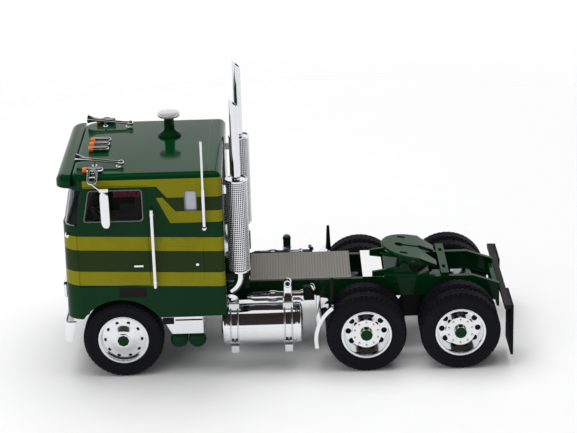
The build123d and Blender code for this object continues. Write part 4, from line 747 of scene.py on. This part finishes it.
# Grab handles and side rod: plated bars beside the cab, each moulded with two short feet that push
# into its side. The rod is slimmer above its upper foot and stands on the left side only.
foot_y = side_y - 0.2
bar_y = 30.0
handle_x, handle_r, handle_foot_r = 41.65, 0.58, 0.8
handle_z, handle_feet = (31.5, 58.3), (33.5, 56.3)
rod_x = 25.45
rod_heights = (50.6, 52.0, 60.0, 63.8, 64.2, 72.0, 80.0)
rod_radii = (0.55, 0.55, 0.55, 0.55, 0.4, 0.4, 0.4)
rod_feet = ((51.4, 0.9, 0.85), (62.6, 0.0, 0.5))          # height, reach past the rod, radius
handle = [tube([(handle_x, bar_y, z) for z in np.linspace(*handle_z, 12)], handle_r, (1, 0, 0))]
handle += [tube(((handle_x, foot_y, z), (handle_x, bar_y + 0.5, z)), handle_foot_r, (1, 0, 0))
           for z in handle_feet]
stand_in("handles", both_sides(*handle), chrome, "grab_handles")
rod = [tube([(rod_x, bar_y, z) for z in rod_heights], rod_radii, (1, 0, 0))]
rod += [tube(((rod_x, foot_y, z), (rod_x, bar_y + past, z)), r, (1, 0, 0)) for z, past, r in rod_feet]
stand_in("rod", rod, chrome, "side_rod")


# Small plated fittings: latches, corner lamps, grille, headlight bezels and battery boxes come off
# one plated sprue and are glued on. The headlights have silvered clear fronts.
for node in ("cab_latches", "corner_lamps", "grille", "headlight_bezels", "battery_boxes"):
    dressed(node, chrome, bevel_mm=0.08)
lamp_glass = finish("lamp_glass", (0.85, 0.87, 0.88), 0.05, 0.1, shift=0.05, grain_mm=0.4,
                    relief_mm=0.01, Metallic=0.6)
dressed("headlight_lenses", lamp_glass, bevel_mm=0.2)


# Exhaust stacks: two plated tubes with mitred, hollow tops, pressed up from below. Each bends
# forward under its guard and ends in a small collar by the tank.
stack_x, stack_y = 15.25, 21.8
stack_half, stack_wall = 1.4, 0.35
stack_top, stack_drop, bore_depth = 90.4, 2.5, 14.0
mitre_from = 80.0
bend_z, bend_half, bend_turn = 31.9, 5.4, 65.0
collar_profile = [(0, 0), (0, 1.6), (0.4, 1.75), (1.4, 1.75), (1.8, 1.6), (2.4, 1.2), (2.4, 0)]
collar_place, collar_way = (17.9, 20.6, 24.1), (0.25, 0, -1)
spigot_profile = [(0, 0), (0, 1.0), (2.4, 1.0), (2.4, 0)]
spigot_place, spigot_way = (18.6, 20.6, 22.6), (-1, 0, -0.2)


def stack_surface(around=56):
    """Pipe along a bend and a straight, its top cut on a slant, with an inner wall down the bore."""
    bend = np.radians(np.linspace(bend_turn, 0, 15))
    bend_up = bend_z - bend_half * np.sin(bend)
    wall_up = np.linspace(bend_z + 2, stack_top, 12)
    bore_up = np.linspace(stack_top, stack_top - bore_depth, 6)
    up = np.concatenate((bend_up[:1], bend_up, wall_up, bore_up, bore_up[-1:]))
    lean = np.concatenate((bend[:1], bend, np.zeros(len(wall_up) + len(bore_up) + 1)))
    half = np.concatenate(([0], np.full(len(bend) + len(wall_up), stack_half),
                           np.full(len(bore_up), stack_half - stack_wall), [0]))
    angle = np.linspace(0, 2 * math.pi, around, endpoint=False)[None]
    across = half[:, None] * np.cos(angle)
    x = (stack_x + bend_half * (1 - np.cos(lean)))[:, None] + across * np.cos(lean)[:, None]
    z = up[:, None] + across * np.sin(lean)[:, None]
    y = stack_y + half[:, None] * np.sin(angle) + 0 * x
    cut = np.clip((up[:, None] - mitre_from) / (stack_top - mitre_from), 0, 1)
    z = z - cut * stack_drop * (0.5 - 0.5 * (x - stack_x) / stack_half)
    return np.stack((x, y, z), -1).reshape(-1, 3), lace(len(up), around, around_columns=True)


stand_in("stacks", both_sides(stack_surface()), chrome, "stack_left", "stack_right", sharp=50)
extra("collars", both_sides(turned(collar_profile, collar_place, collar_way, 32),
                            turned(spigot_profile, spigot_place, spigot_way, 24)), chrome, "stack_left")


# Heat guards: one thin plated sheet rolled round each stack and pierced with rows of round holes,
# held by a hoop at each end, a lid and a bracket to the cab. A black sheet behind the holes is painted shade
# seen through them.
guard_half, guard_wall, guard_margin = 3.42, 0.2, 0.5
guard_z = (33.8, 64.7)
guard_columns, guard_rows = 34, 44
hole_share = 0.37            # of the holes' pitch
hoop_high = 0.7
hoop_profile = [(0, guard_half - 0.2), (0, guard_half + 0.05), (0.15, guard_half + 0.1),
                (0.55, guard_half + 0.1), (hoop_high, guard_half), (hoop_high, guard_half - 0.2),
                (0, guard_half - 0.2)]
lid_profile = [(-0.05, stack_half), (0, guard_half - 0.1), (0.1, guard_half - 0.1), (0.25, stack_half)]
shade_sheet_gap = 0.45
bracket_low, bracket_high = (18.2, 20.9, 60.0), (19.9, 22.7, 62.2)


def pierced_wall():
    """Cylinder wall of square tiles, each a square frame round an eight-cornered hole."""
    eighth = np.radians(np.arange(8) * 45.0)
    ring = np.stack((np.cos(eighth), np.sin(eighth)), 1)
    tile = np.concatenate((0.5 * ring / np.abs(ring).max(1, keepdims=True), hole_share * ring))
    column, row = grid(np.arange(guard_columns), np.arange(guard_rows))
    turn = 2 * math.pi * (column[:, None] + 0.5 + tile[:, 0]) / guard_columns
    height = guard_z[0] + guard_margin + (guard_z[1] - guard_z[0] - 2 * guard_margin) * (
        row[:, None] + 0.5 + tile[:, 1]) / guard_rows
    points = np.stack((stack_x + guard_half * np.cos(turn),
                       stack_y + guard_half * np.sin(turn), height), -1)
    corner = np.arange(8)
    faces = np.stack((corner, (corner + 1) % 8, 8 + (corner + 1) % 8, 8 + corner), 1)
    return points.reshape(-1, 3), (16 * np.arange(len(column))[:, None, None] + faces).reshape(-1, 4)


def block(low, high, reach=0.2):
    """Block with eased upright edges, from its low and high corners."""
    (x0, y0, z0), (x1, y1, z1) = low, high
    return slab(eased(((x0, y0), (x1, y0), (x1, y1), (x0, y1)), reach, 4), z0, z1, 2)


def round_stack(profile, z):
    """Surface of revolution round the stack's upright axis, from a height."""
    return turned(profile, (stack_x, stack_y, z), (0, 0, 1))


thicken(stand_in("guards", both_sides(pierced_wall()), chrome, "stack_guard_left", "stack_guard_right",
                 sharp=40), guard_wall, -1)
guard_height = guard_z[1] - guard_z[0]
shade_sheet_half = guard_half - shade_sheet_gap
shade_sheet_profile = [(0.3, 1.6), (0.3, shade_sheet_half), (guard_height - 0.6, shade_sheet_half),
                  (guard_height - 0.6, 1.6)]
# black sheet inside each guard: painted shade that shows through the holes
extra("guard_hole_shade", both_sides(round_stack(shade_sheet_profile, guard_z[0])), black_plastic, "stack_guard_left")
extra("guard_hoops", both_sides(
    round_stack(hoop_profile, guard_z[0]), round_stack(hoop_profile, guard_z[1] - hoop_high),
    round_stack(lid_profile, guard_z[1] - 0.4), block(bracket_low, bracket_high, 0.3)),
    chrome, "stack_guard_left")


# Fuel tanks: plated shells with domed ends and a rolled bead near each end, moulded in two halves
# and plated after they are joined. The straps below hang them from the rails.
tank_y, tank_z, tank_r = 21.8, 15.2, 6.4
tank_x = (-4.45, 21.75)
dome_length, dome_power = 1.2, 0.35
bead_in, bead_high = 2.0, 0.16                # bead's middle from the tank's end, and its height


def tank_profile(length):
    """Half outline of a tank: domed end, straight wall with two rolled beads, domed end."""
    half = bow((0, 0), 1, 180, 90)
    dome = np.stack((dome_length * (1 + half[:, 0]), tank_r * half[:, 1] ** dome_power), 1)
    swell = np.linspace(-0.5, 0.5, 9)
    bead = np.stack((bead_in + swell, tank_r + bead_high * np.cos(math.pi * swell) ** 2), 1)
    rear = np.concatenate((dome, bead))
    return np.concatenate((rear, (rear * (-1, 1) + (length, 0))[::-1]))


stand_in("tanks", both_sides(
    turned(tank_profile(tank_x[1] - tank_x[0]), (tank_x[0], tank_y, tank_z), (1, 0, 0), 160)),
    chrome, "fuel_tank_left", "fuel_tank_right", sharp=50)


# Tank straps: a pair of thin stainless rods round the tank, from a clamp block on the rail's edge
# to a clip low on the outside and a foot below it. Two straps hold each tank.
strap_xs = (17.45, 0.25)
strap_rod, strap_gap, strap_reach = 0.27, 1.15, 0.35
strap_top, strap_end = 96.0, -200.0           # degrees above the outside
clip_angles, clip_reach, clip_x = (-30.0, -64.0), (0.75, 0.05), (0.15, 1.35)
strap_foot, foot_half = ((25.0, 9.6), (27.3, 9.9), (27.0, 7.0), (24.4, 7.0)), 1.2
strap_clamp, clamp_half = ((19.6, 21.2), (24.6, 20.9), (24.4, 23.4), (19.8, 23.4)), 1.6


def arc_rod(x, first, last):
    """Rod that follows the tank's wall from one angle to another, in degrees above the outside."""
    arc = bow((tank_y, tank_z), tank_r + strap_reach, first, last, 21)
    return tube(np.insert(arc, 0, x, axis=1), strap_rod, (1, 0, 0), 10)


clip_out, clip_in = (bow((tank_y, tank_z), tank_r + reach, *clip_angles) for reach in clip_reach)
clip = np.concatenate((clip_out, clip_in[::-1]))
straps = []
for x in strap_xs:
    for rod_at in (x - strap_gap, x + strap_gap):
        straps += [arc_rod(rod_at, strap_top, clip_angles[0]),
                   arc_rod(rod_at, clip_angles[1], strap_end)]
    straps += [slab(clip, x - clip_x[1], x - clip_x[0], 0), slab(clip, x + clip_x[0], x + clip_x[1], 0),
               slab(eased(strap_foot, 0.4), x - foot_half, x + foot_half, 0),
               slab(eased(strap_clamp, 0.4), x - clamp_half, x + clamp_half, 0)]
stainless = finish("stainless", (0.66, 0.67, 0.68), 0.12, 0.22, shift=0.06, grain_mm=0.3,
                   relief_mm=0.001, Metallic=1.0)
stand_in("straps", both_sides(*straps), stainless, "tank_straps", sharp=40)


# Upper pipes: a plated pipe above each tank with a collar, a swelling and a thin tapered tip, and
# beside it a capped post, a hook and a step. Black plugs are painted shade in the post's bore and the gaps
# between.
pipe_place, pipe_r = (-4.75, 18.2, 22.9), 1.5
swelling_from, swelling_length, swelling_high = 8.0, 3.6, 0.35
post_x, post_y, post_z = 0.2, 20.2, (22.6, 28.2)
post_cap = [(0, 0), (0, 1.4), (1.6, 1.4), (1.9, 1.1), (1.9, 0)]
post_bore_shade = [(0, 0), (0, 0.8), (0.12, 0.75), (0.12, 0)]
hook_path = ((-7.2, 17.0, 26.4), (-7.9, 17.2, 25.4), (-8.4, 17.6, 24.2))
upright = ((-10.3, 16.6, 17.6), (-8.8, 17.8, 22.4))       # low and high corners of the small blocks
step_bar = ((-9.4, 11.6, 21.4), (-8.2, 17.2, 22.4))
rear_gap_shade, front_gap_shade = ((-8.4, 14.4, 20.4), (-4.9, 16.6, 25.0)), ((12.4, 15.8, 26.0), (14.4, 18.4, 31.8))
swelling = np.linspace(0, 1, 9)
pipe_profile = np.concatenate((
    [(0, 0), (0, 1.9), (0.8, 1.9), (0.85, pipe_r), (8.0, pipe_r)],
    np.stack((swelling_from + swelling_length * swelling,
              pipe_r + swelling_high * np.sin(math.pi * swelling) ** 0.5), 1),
    [(15.6, pipe_r), (17.8, 0.75), (18.2, 0.4), (18.2, 0)]))
stand_in("pipes", both_sides(
    turned(pipe_profile, pipe_place, (1, 0, 0), 48),
    turned(post_cap, (post_x, post_y - 0.9, post_z[1]), (0, 1, 0), 28),
    block((post_x - 1.3, post_y - 0.5, post_z[0]), (post_x + 1.3, post_y + 0.5, post_z[1]), 0.3),
    tube(hook_path, 0.7, (0, 1, 0)),
    block(*upright, 0.3), block(*step_bar)), chrome, "upper_pipes", sharp=45)
# black disc and blocks: painted shade in the post's bore and in the gaps beside the pipe
extra("pipe_gap_shade", both_sides(
    turned(post_bore_shade, (post_x, post_y + 0.95, post_z[1]), (0, 1, 0), 24),
    block(*rear_gap_shade, 0.3), block(*front_gap_shade, 0.3)), black_plastic, "engine_and_gearbox")


# Fenders: a curved plated quarter ahead of each first drive wheel, moulded with the bar that holds
# it from the rail, and a slim black post that stands on it.
fender_middle, fender_outer, fender_thick = (-22.15, 11.25), 14.3, 1.2
fender_angles, fender_y = (53.0, -12.0), (20.6, 28.0)
fender_bar = ((-0.4, 11.8, 20.2), (-0.4, 18.0, 21.8), (-0.2, 27.6, 22.1))     # x from the fender's top
bar_r = 0.6
slim_place, slim_heights, slim_radii = (-13.94, 23.5), (21.6, 24.0, 30.9), (0.95, 0.8, 0.5)
socket_heights, socket_r = (22.0, 23.4), 0.9
outer_arc, inner_arc = (bow(fender_middle, fender_outer - thick, *fender_angles, 21)
                        for thick in (0, fender_thick))
stand_in("fenders", both_sides(
    slab(np.concatenate((outer_arc, inner_arc[::-1])), *fender_y, 1),
    tube(np.array(fender_bar) + (outer_arc[0, 0], 0, 0), bar_r, (1, 0, 0))),
    chrome, "quarter_fenders", sharp=40)
extra("posts", both_sides(
    tube([(*slim_place, z) for z in slim_heights], slim_radii, (1, 0, 0)),
    tube([(*slim_place, z) for z in socket_heights], socket_r, (1, 0, 0))),
    black_plastic, "engine_and_gearbox")


# Bumper: one thin plated sheet, straight across the front, rolled back round each end and cut on a
# slant behind the bend. Two black arms hold it from the rails.
bumper_front, bumper_half = 71.5, 28.0
bumper_z = (12.8, 20.2)
bumper_bend, bumper_wall, bumper_swell = 1.5, 0.6, 0.35
bumper_return = (1.9, 3.7)   # length of the returned ends, low and top
arm_low, arm_high = (65.2, 9.6, 15.2), (70.7, 11.2, 18.6)


def bumper_sheet():
    """Front sheet: straight across, bent back round each end, and cut on a slant behind the bend."""
    rise = np.linspace(0, 1, 15)[:, None]
    rear = bumper_front - (bumper_return[0] + (bumper_return[1] - bumper_return[0]) * rise)
    corner = np.radians(np.linspace(0, 90, 9))[None]
    bend_x = bumper_front - bumper_bend * (1 - np.cos(corner)) + 0 * rise
    bend_y = bumper_half - bumper_bend + bumper_bend * np.sin(corner) + 0 * rise
    end = np.linspace(0.2, 1, 6)[None]
    end_x = bend_x[:, -1:] + (rear - bend_x[:, -1:]) * end
    half_x = np.concatenate((bumper_front + 0 * rise, bend_x, end_x), 1)
    half_y = np.concatenate((0 * rise, bend_y, bumper_half + 0 * end_x), 1)
    x = np.concatenate((half_x[:, :0:-1], half_x), 1)
    y = np.concatenate((-half_y[:, :0:-1], half_y), 1)
    swell = bumper_swell * (1 - (2 * rise - 1) ** 6) * (np.abs(y) < bumper_half - 0.5)
    z = bumper_z[0] + (bumper_z[1] - bumper_z[0]) * rise + 0 * x
    return np.stack((x - bumper_swell + swell, y, z), -1).reshape(-1, 3), lace(15, x.shape[1])


thicken(stand_in("bumper", [bumper_sheet()], chrome, "front_bumper", sharp=60), bumper_wall, -1)
extra("bumper_arms", both_sides(block(arm_low, arm_high)), black_plastic, "engine_and_gearbox")


# Air tanks and battery boxes: two green cylinders with domed ends lie across the frame on each side,
# plugged into its rails. The plated boxes above have a recessed front with a lip; black blocks there
# are painted shade.
air_xs, air_y, air_z = (35.35, 29.55), 14.0, 11.45
air_r, air_dome, air_length = 2.8, 1.6, 12.0
box_front_shade, box_lip_shade = ((36.6, 26.4, 17.9), (40.2, 27.0, 19.9)), ((27.5, 26.45, 18.9), (36.2, 26.75, 19.3))
air_end = np.concatenate((bow((0, 0), 1, 180, 90, 8) * (air_dome, air_r) + (air_dome, 0),
                          [(air_dome + 0.8, air_r)]))
air_profile = np.concatenate((air_end, (air_end * (-1, 1) + (air_length, 0))[::-1]))
stand_in("air_cylinders", both_sides(*[
    turned(air_profile, (x, air_y, air_z), (0, 1, 0), 48) for x in air_xs]),
    plain_enamel, "air_tanks", sharp=50)
# black blocks on the battery boxes: painted shade in the recess and under the lip
extra("battery_recess_shade", both_sides(block(*box_front_shade, 0.3), block(*box_lip_shade, 0.1)), black_plastic,
      "engine_and_gearbox")


# Frame and fifth wheel: moulded rails, base and plate in the cab's green enamel, with rows of rivet
# heads on the rails' sides, and black running gear clipped in from below.
rivet_profile = [(-0.05, 0.42), (0.1, 0.42), (0.24, 0.315), (0.32, 0)]
rivet_xs, rivet_y, rivet_zs = np.arange(-62, 48, 5.5), 11.6, (20.6, 23.8)
for node in ("chassis_frame", "fifth_wheel_plate", "fifth_wheel_base"):
    dressed(node, plain_enamel, bevel_mm=0.1)
for node in ("engine_and_gearbox", "driveshaft", "front_axle_beam", "drive_axle_carrier",
             "mudflap_hanger"):
    dressed(node, black_plastic, bevel_mm=0.1)
extra("rail_bolts", both_sides(*[turned(rivet_profile, (x, rivet_y, z), (0, 1, 0), 12)
                                 for x in rivet_xs for z in rivet_zs]), plain_enamel, "chassis_frame")


# Deck: a grey-brown tread plate on the rails behind the cab, with long dashes pressed up in rows,
# every other row set off, and a polished plate beside it.
deck_x, deck_half, deck_top = (-20.0, 11.9), 11.2, 26.0
dash_half, dash_high, dash_sunk = (0.16, 0.55), 0.14, 0.03
dash_pitch, dash_margin = (0.92, 1.55), 0.6


def dashes():
    """Long pyramids with flat tops, one at each place of a grid, every other row set off."""
    xs = np.arange(deck_x[0], deck_x[1], dash_pitch[0])
    ys = np.arange(-deck_half + dash_margin, deck_half - dash_margin, dash_pitch[1])
    x, y = np.meshgrid(xs, ys, indexing="ij")
    y = y + 0.25 * dash_pitch[1] * np.where(np.arange(len(xs)) % 2, 1, -1)[:, None]
    sign = np.array(((-1, -1), (1, -1), (1, 1), (-1, 1)))
    foot = np.concatenate((sign * dash_half, np.full((4, 1), -dash_sunk)), 1)
    top = np.concatenate((sign * np.array(dash_half) * (0.4, 0.8), np.full((4, 1), dash_high)), 1)
    middle = np.stack((x.ravel(), y.ravel(), np.full(x.size, deck_top)), 1)
    points = (middle[:, None] + np.concatenate((foot, top))[None]).reshape(-1, 3)
    side = np.arange(4)
    faces = np.concatenate((np.stack((side, (side + 1) % 4, 4 + (side + 1) % 4, 4 + side), 1),
                            [[4, 5, 6, 7]]))
    return points, (8 * np.arange(x.size)[:, None, None] + faces).reshape(-1, 4)


tread_grey = finish("tread_grey", (0.160, 0.155, 0.135), 0.4, 0.55, shift=0.2, grain_mm=0.3,
                    relief_mm=0.01)
dressed("deck_plate", tread_grey, bevel_mm=0.05)
extra("deck_dashes", [dashes()], tread_grey, "deck_plate", sharp=20)
polished = finish("polished_plate", (0.88, 0.88, 0.89), 0.06, 0.12, shift=0.03, grain_mm=0.5,
                  relief_mm=0.001, Metallic=1.0)
dressed("bright_plate", polished, bevel_mm=0.05)


# Mudflaps: flat mouldings of soft black plastic with upright ribs on both faces inside a plain rim,
# glued to the hanger behind the last wheels.
flap_x, flap_y, flap_z = (-71.5, -70.7), (12.4, 27.0), (3.9, 21.0)
flap_steps = (121, 25)
flap_rim, rib_high, rib_pitch = 0.6, 0.14, 1.46


def flap():
    """Moulded flap: a panel with upright ribs on both faces inside a flat rim."""
    columns, rows = flap_steps
    y, z = grid(np.linspace(*flap_y, columns), np.linspace(*flap_z, rows))
    rim = np.minimum.reduce((y - flap_y[0], flap_y[1] - y, z - flap_z[0], flap_z[1] - z))
    rib = rib_high * np.clip((rim - flap_rim) / 0.3, 0, 1) * (
        0.5 - 0.5 * np.cos(2 * math.pi * (y - flap_y[0]) / rib_pitch))
    rear = np.stack((flap_x[0] + rib, y, z), 1)
    front = np.stack((flap_x[1] - rib, y, z), 1)
    faces = lace(columns, rows)
    edge = np.concatenate((np.arange(rows), rows * np.arange(1, columns) + rows - 1,
                           rows * (columns - 1) + np.arange(rows - 2, -1, -1),
                           rows * np.arange(columns - 2, 0, -1)))
    walls = np.stack((edge, np.roll(edge, -1), np.roll(edge, -1) + len(y), edge + len(y)), 1)
    return np.concatenate((rear, front)), np.concatenate((faces, faces + len(y), walls))


rubber = finish("rubber", (0.006, 0.006, 0.008), 0.5, 0.7, shift=0.2, grain_mm=0.25, relief_mm=0.012,
                Specular_IOR_Level=0.1)
stand_in("flaps", both_sides(flap()), rubber, "mudflaps", sharp=40)


# Wheels and tyres: silver plated wheels with a bright lip, nuts round the hub and green caps, pressed
# on their rod; black moulded tyres with four grooves, cut shoulders and raised rings on the walls.
axle_z = 12.85
tyre_r, tyre_width = 12.85, 6.5
tyre_wall = np.array(((0.55, 8.05), (0.15, 8.3), (0.0, 8.8), (-0.06, 9.0), (0.0, 9.15), (-0.02, 10.2),
                      (0.0, 11.0), (-0.07, 11.2), (0.02, 11.4), (0.12, 12.0), (0.3, 12.4), (0.6, 12.72),
                      (1.1, 12.85)))
tread_grooves = (-1.8, -0.6, 0.6, 1.8)
groove_half, groove_depth = 0.2, 0.4
groove_edges = (-1.3, -0.7, 0.7, 1.3)         # of the half width: lip, floor, floor, lip
shoulder_cuts, cut_depth, cut_from = 48, 0.35, 2.1
lip_r, lip_bar, lip_in = 7.62, 0.42, 0.35
nut_profile = [(-0.3, 0.34), (0.25, 0.34), (0.4, 0.2), (0.42, 0)]
crown_profile = [(27.25, 2.0), (27.25, 2.6), (27.0, 3.2), (26.6, 4.2), (26.2, 5.3), (25.97, 6.2),
                 (25.9, 7.0)]
spokes = 10                  # nuts and hand holes in a wheel
hole_circle = 5.75
dual = {"tyres": (28.5, 20.9), "nuts": (27.55, 3.9), "holes": (24.9, 0.95), "cap": (27.5, 2.0, 1.4, 32)}
wheel_sets = {               # outer faces of tyres, nuts' face and circle, holes' face and radius, cap
    "front": {"x": 53.05, "tyres": (27.1,), "nuts": (26.4, 2.9), "holes": (26.0, 0.62),
              "cap": (27.2, 2.1, 0.65, 8)},
    "drive_1": {"x": -24.55, **dual}, "drive_2": {"x": -54.55, **dual}}


def tyre(axle_x, outer_y, around=288):
    """Tyre: profile of bead, bulging wall, shoulder and grooved tread turned round the axle, cut in steps."""
    steps = np.concatenate([np.array(groove_edges) * groove_half + groove for groove in tread_grooves])
    floor_r = np.tile(tyre_r - groove_depth * np.array((0, 1, 1, 0)), len(tread_grooves))
    across = np.concatenate((tyre_wall[:, 0], tyre_width / 2 + steps, tyre_width - tyre_wall[::-1, 0]))
    radius = np.concatenate((tyre_wall[:, 1], floor_r, tyre_wall[::-1, 1]))
    across, radius = np.append(across, across[0]), np.append(radius, radius[0])
    angle = np.linspace(0, 2 * math.pi, around, endpoint=False)[None]
    cut = (np.arange(around) % (around // shoulder_cuts) < 2).astype(float)[None]
    near_edge = (np.abs(across - tyre_width / 2) > cut_from) & (radius > 12.2)
    half = radius[:, None] - cut_depth * cut * near_edge[:, None]
    points = np.stack((axle_x + half * np.cos(angle), outer_y - across[:, None] + 0 * half,
                       axle_z + half * np.sin(angle)), -1)
    return points.reshape(-1, 3), lace(len(across), around, around_columns=True)


def circled(profile, axle_x, y, reach, offset, around):
    """Like turned pieces spaced evenly on a circle round an axle, all facing outwards."""
    turn = 2 * math.pi * (np.arange(spokes) + offset) / spokes
    places = np.stack((axle_x + reach * np.cos(turn), np.full(spokes, y), axle_z + reach * np.sin(turn)), 1)
    return [turned(profile, place, (0, 1, 0), around) for place in places]


silver = finish("wheel_silver", (0.78, 0.79, 0.80), 0.07, 0.14, shift=0.05, grain_mm=0.3,
                relief_mm=0.001, Metallic=1.0)
for axle, fit in wheel_sets.items():
    axle_x, outer_y = fit["x"], fit["tyres"][0]
    stand_in(axle + "_rubber", both_sides(*[tyre(axle_x, y) for y in fit["tyres"]]), rubber,
             axle + "_tyres")
    dressed(axle + "_wheels", silver, bevel_mm=0.0, sharp=30.0)
    dressed(axle + "_axle_rod", plain_enamel, bevel_mm=0.0)
    nut_y, nut_circle = fit["nuts"]
    lip = bow((0, lip_r), lip_bar, 0, 360, 17)
    bright = [turned(lip, (axle_x, outer_y - lip_in, axle_z), (0, 1, 0), 128)]
    if axle == "front":
        bright.append(turned(crown_profile, (axle_x, 0, axle_z), (0, 1, 0), 96))
    bright += circled(nut_profile, axle_x, nut_y, nut_circle, 0.5, 12)
    extra(axle + "_lips", both_sides(*bright), silver, axle + "_wheels")
    hole_y, hole_r = fit["holes"]
    # black discs in the hand holes: painted shade seen through the wheel
    extra(axle + "_hand_hole_shade", both_sides(*circled(
        [(0, hole_r), (0.14, hole_r - 0.04), (0.18, 0)], axle_x, hole_y, hole_circle, 0, 20)),
        black_plastic, axle + "_tyres")
    cap_y, cap_r, cap_high, cap_sides = fit["cap"]
    cap = [(0, 0), (0, cap_r), (cap_high - 0.2, cap_r), (cap_high, cap_r - 0.25), (cap_high, 0)]
    extra(axle + "_caps", both_sides(turned(cap, (axle_x, cap_y, axle_z), (0, 1, 0), cap_sides)),
          plain_enamel, axle + "_wheels", sharp=25)
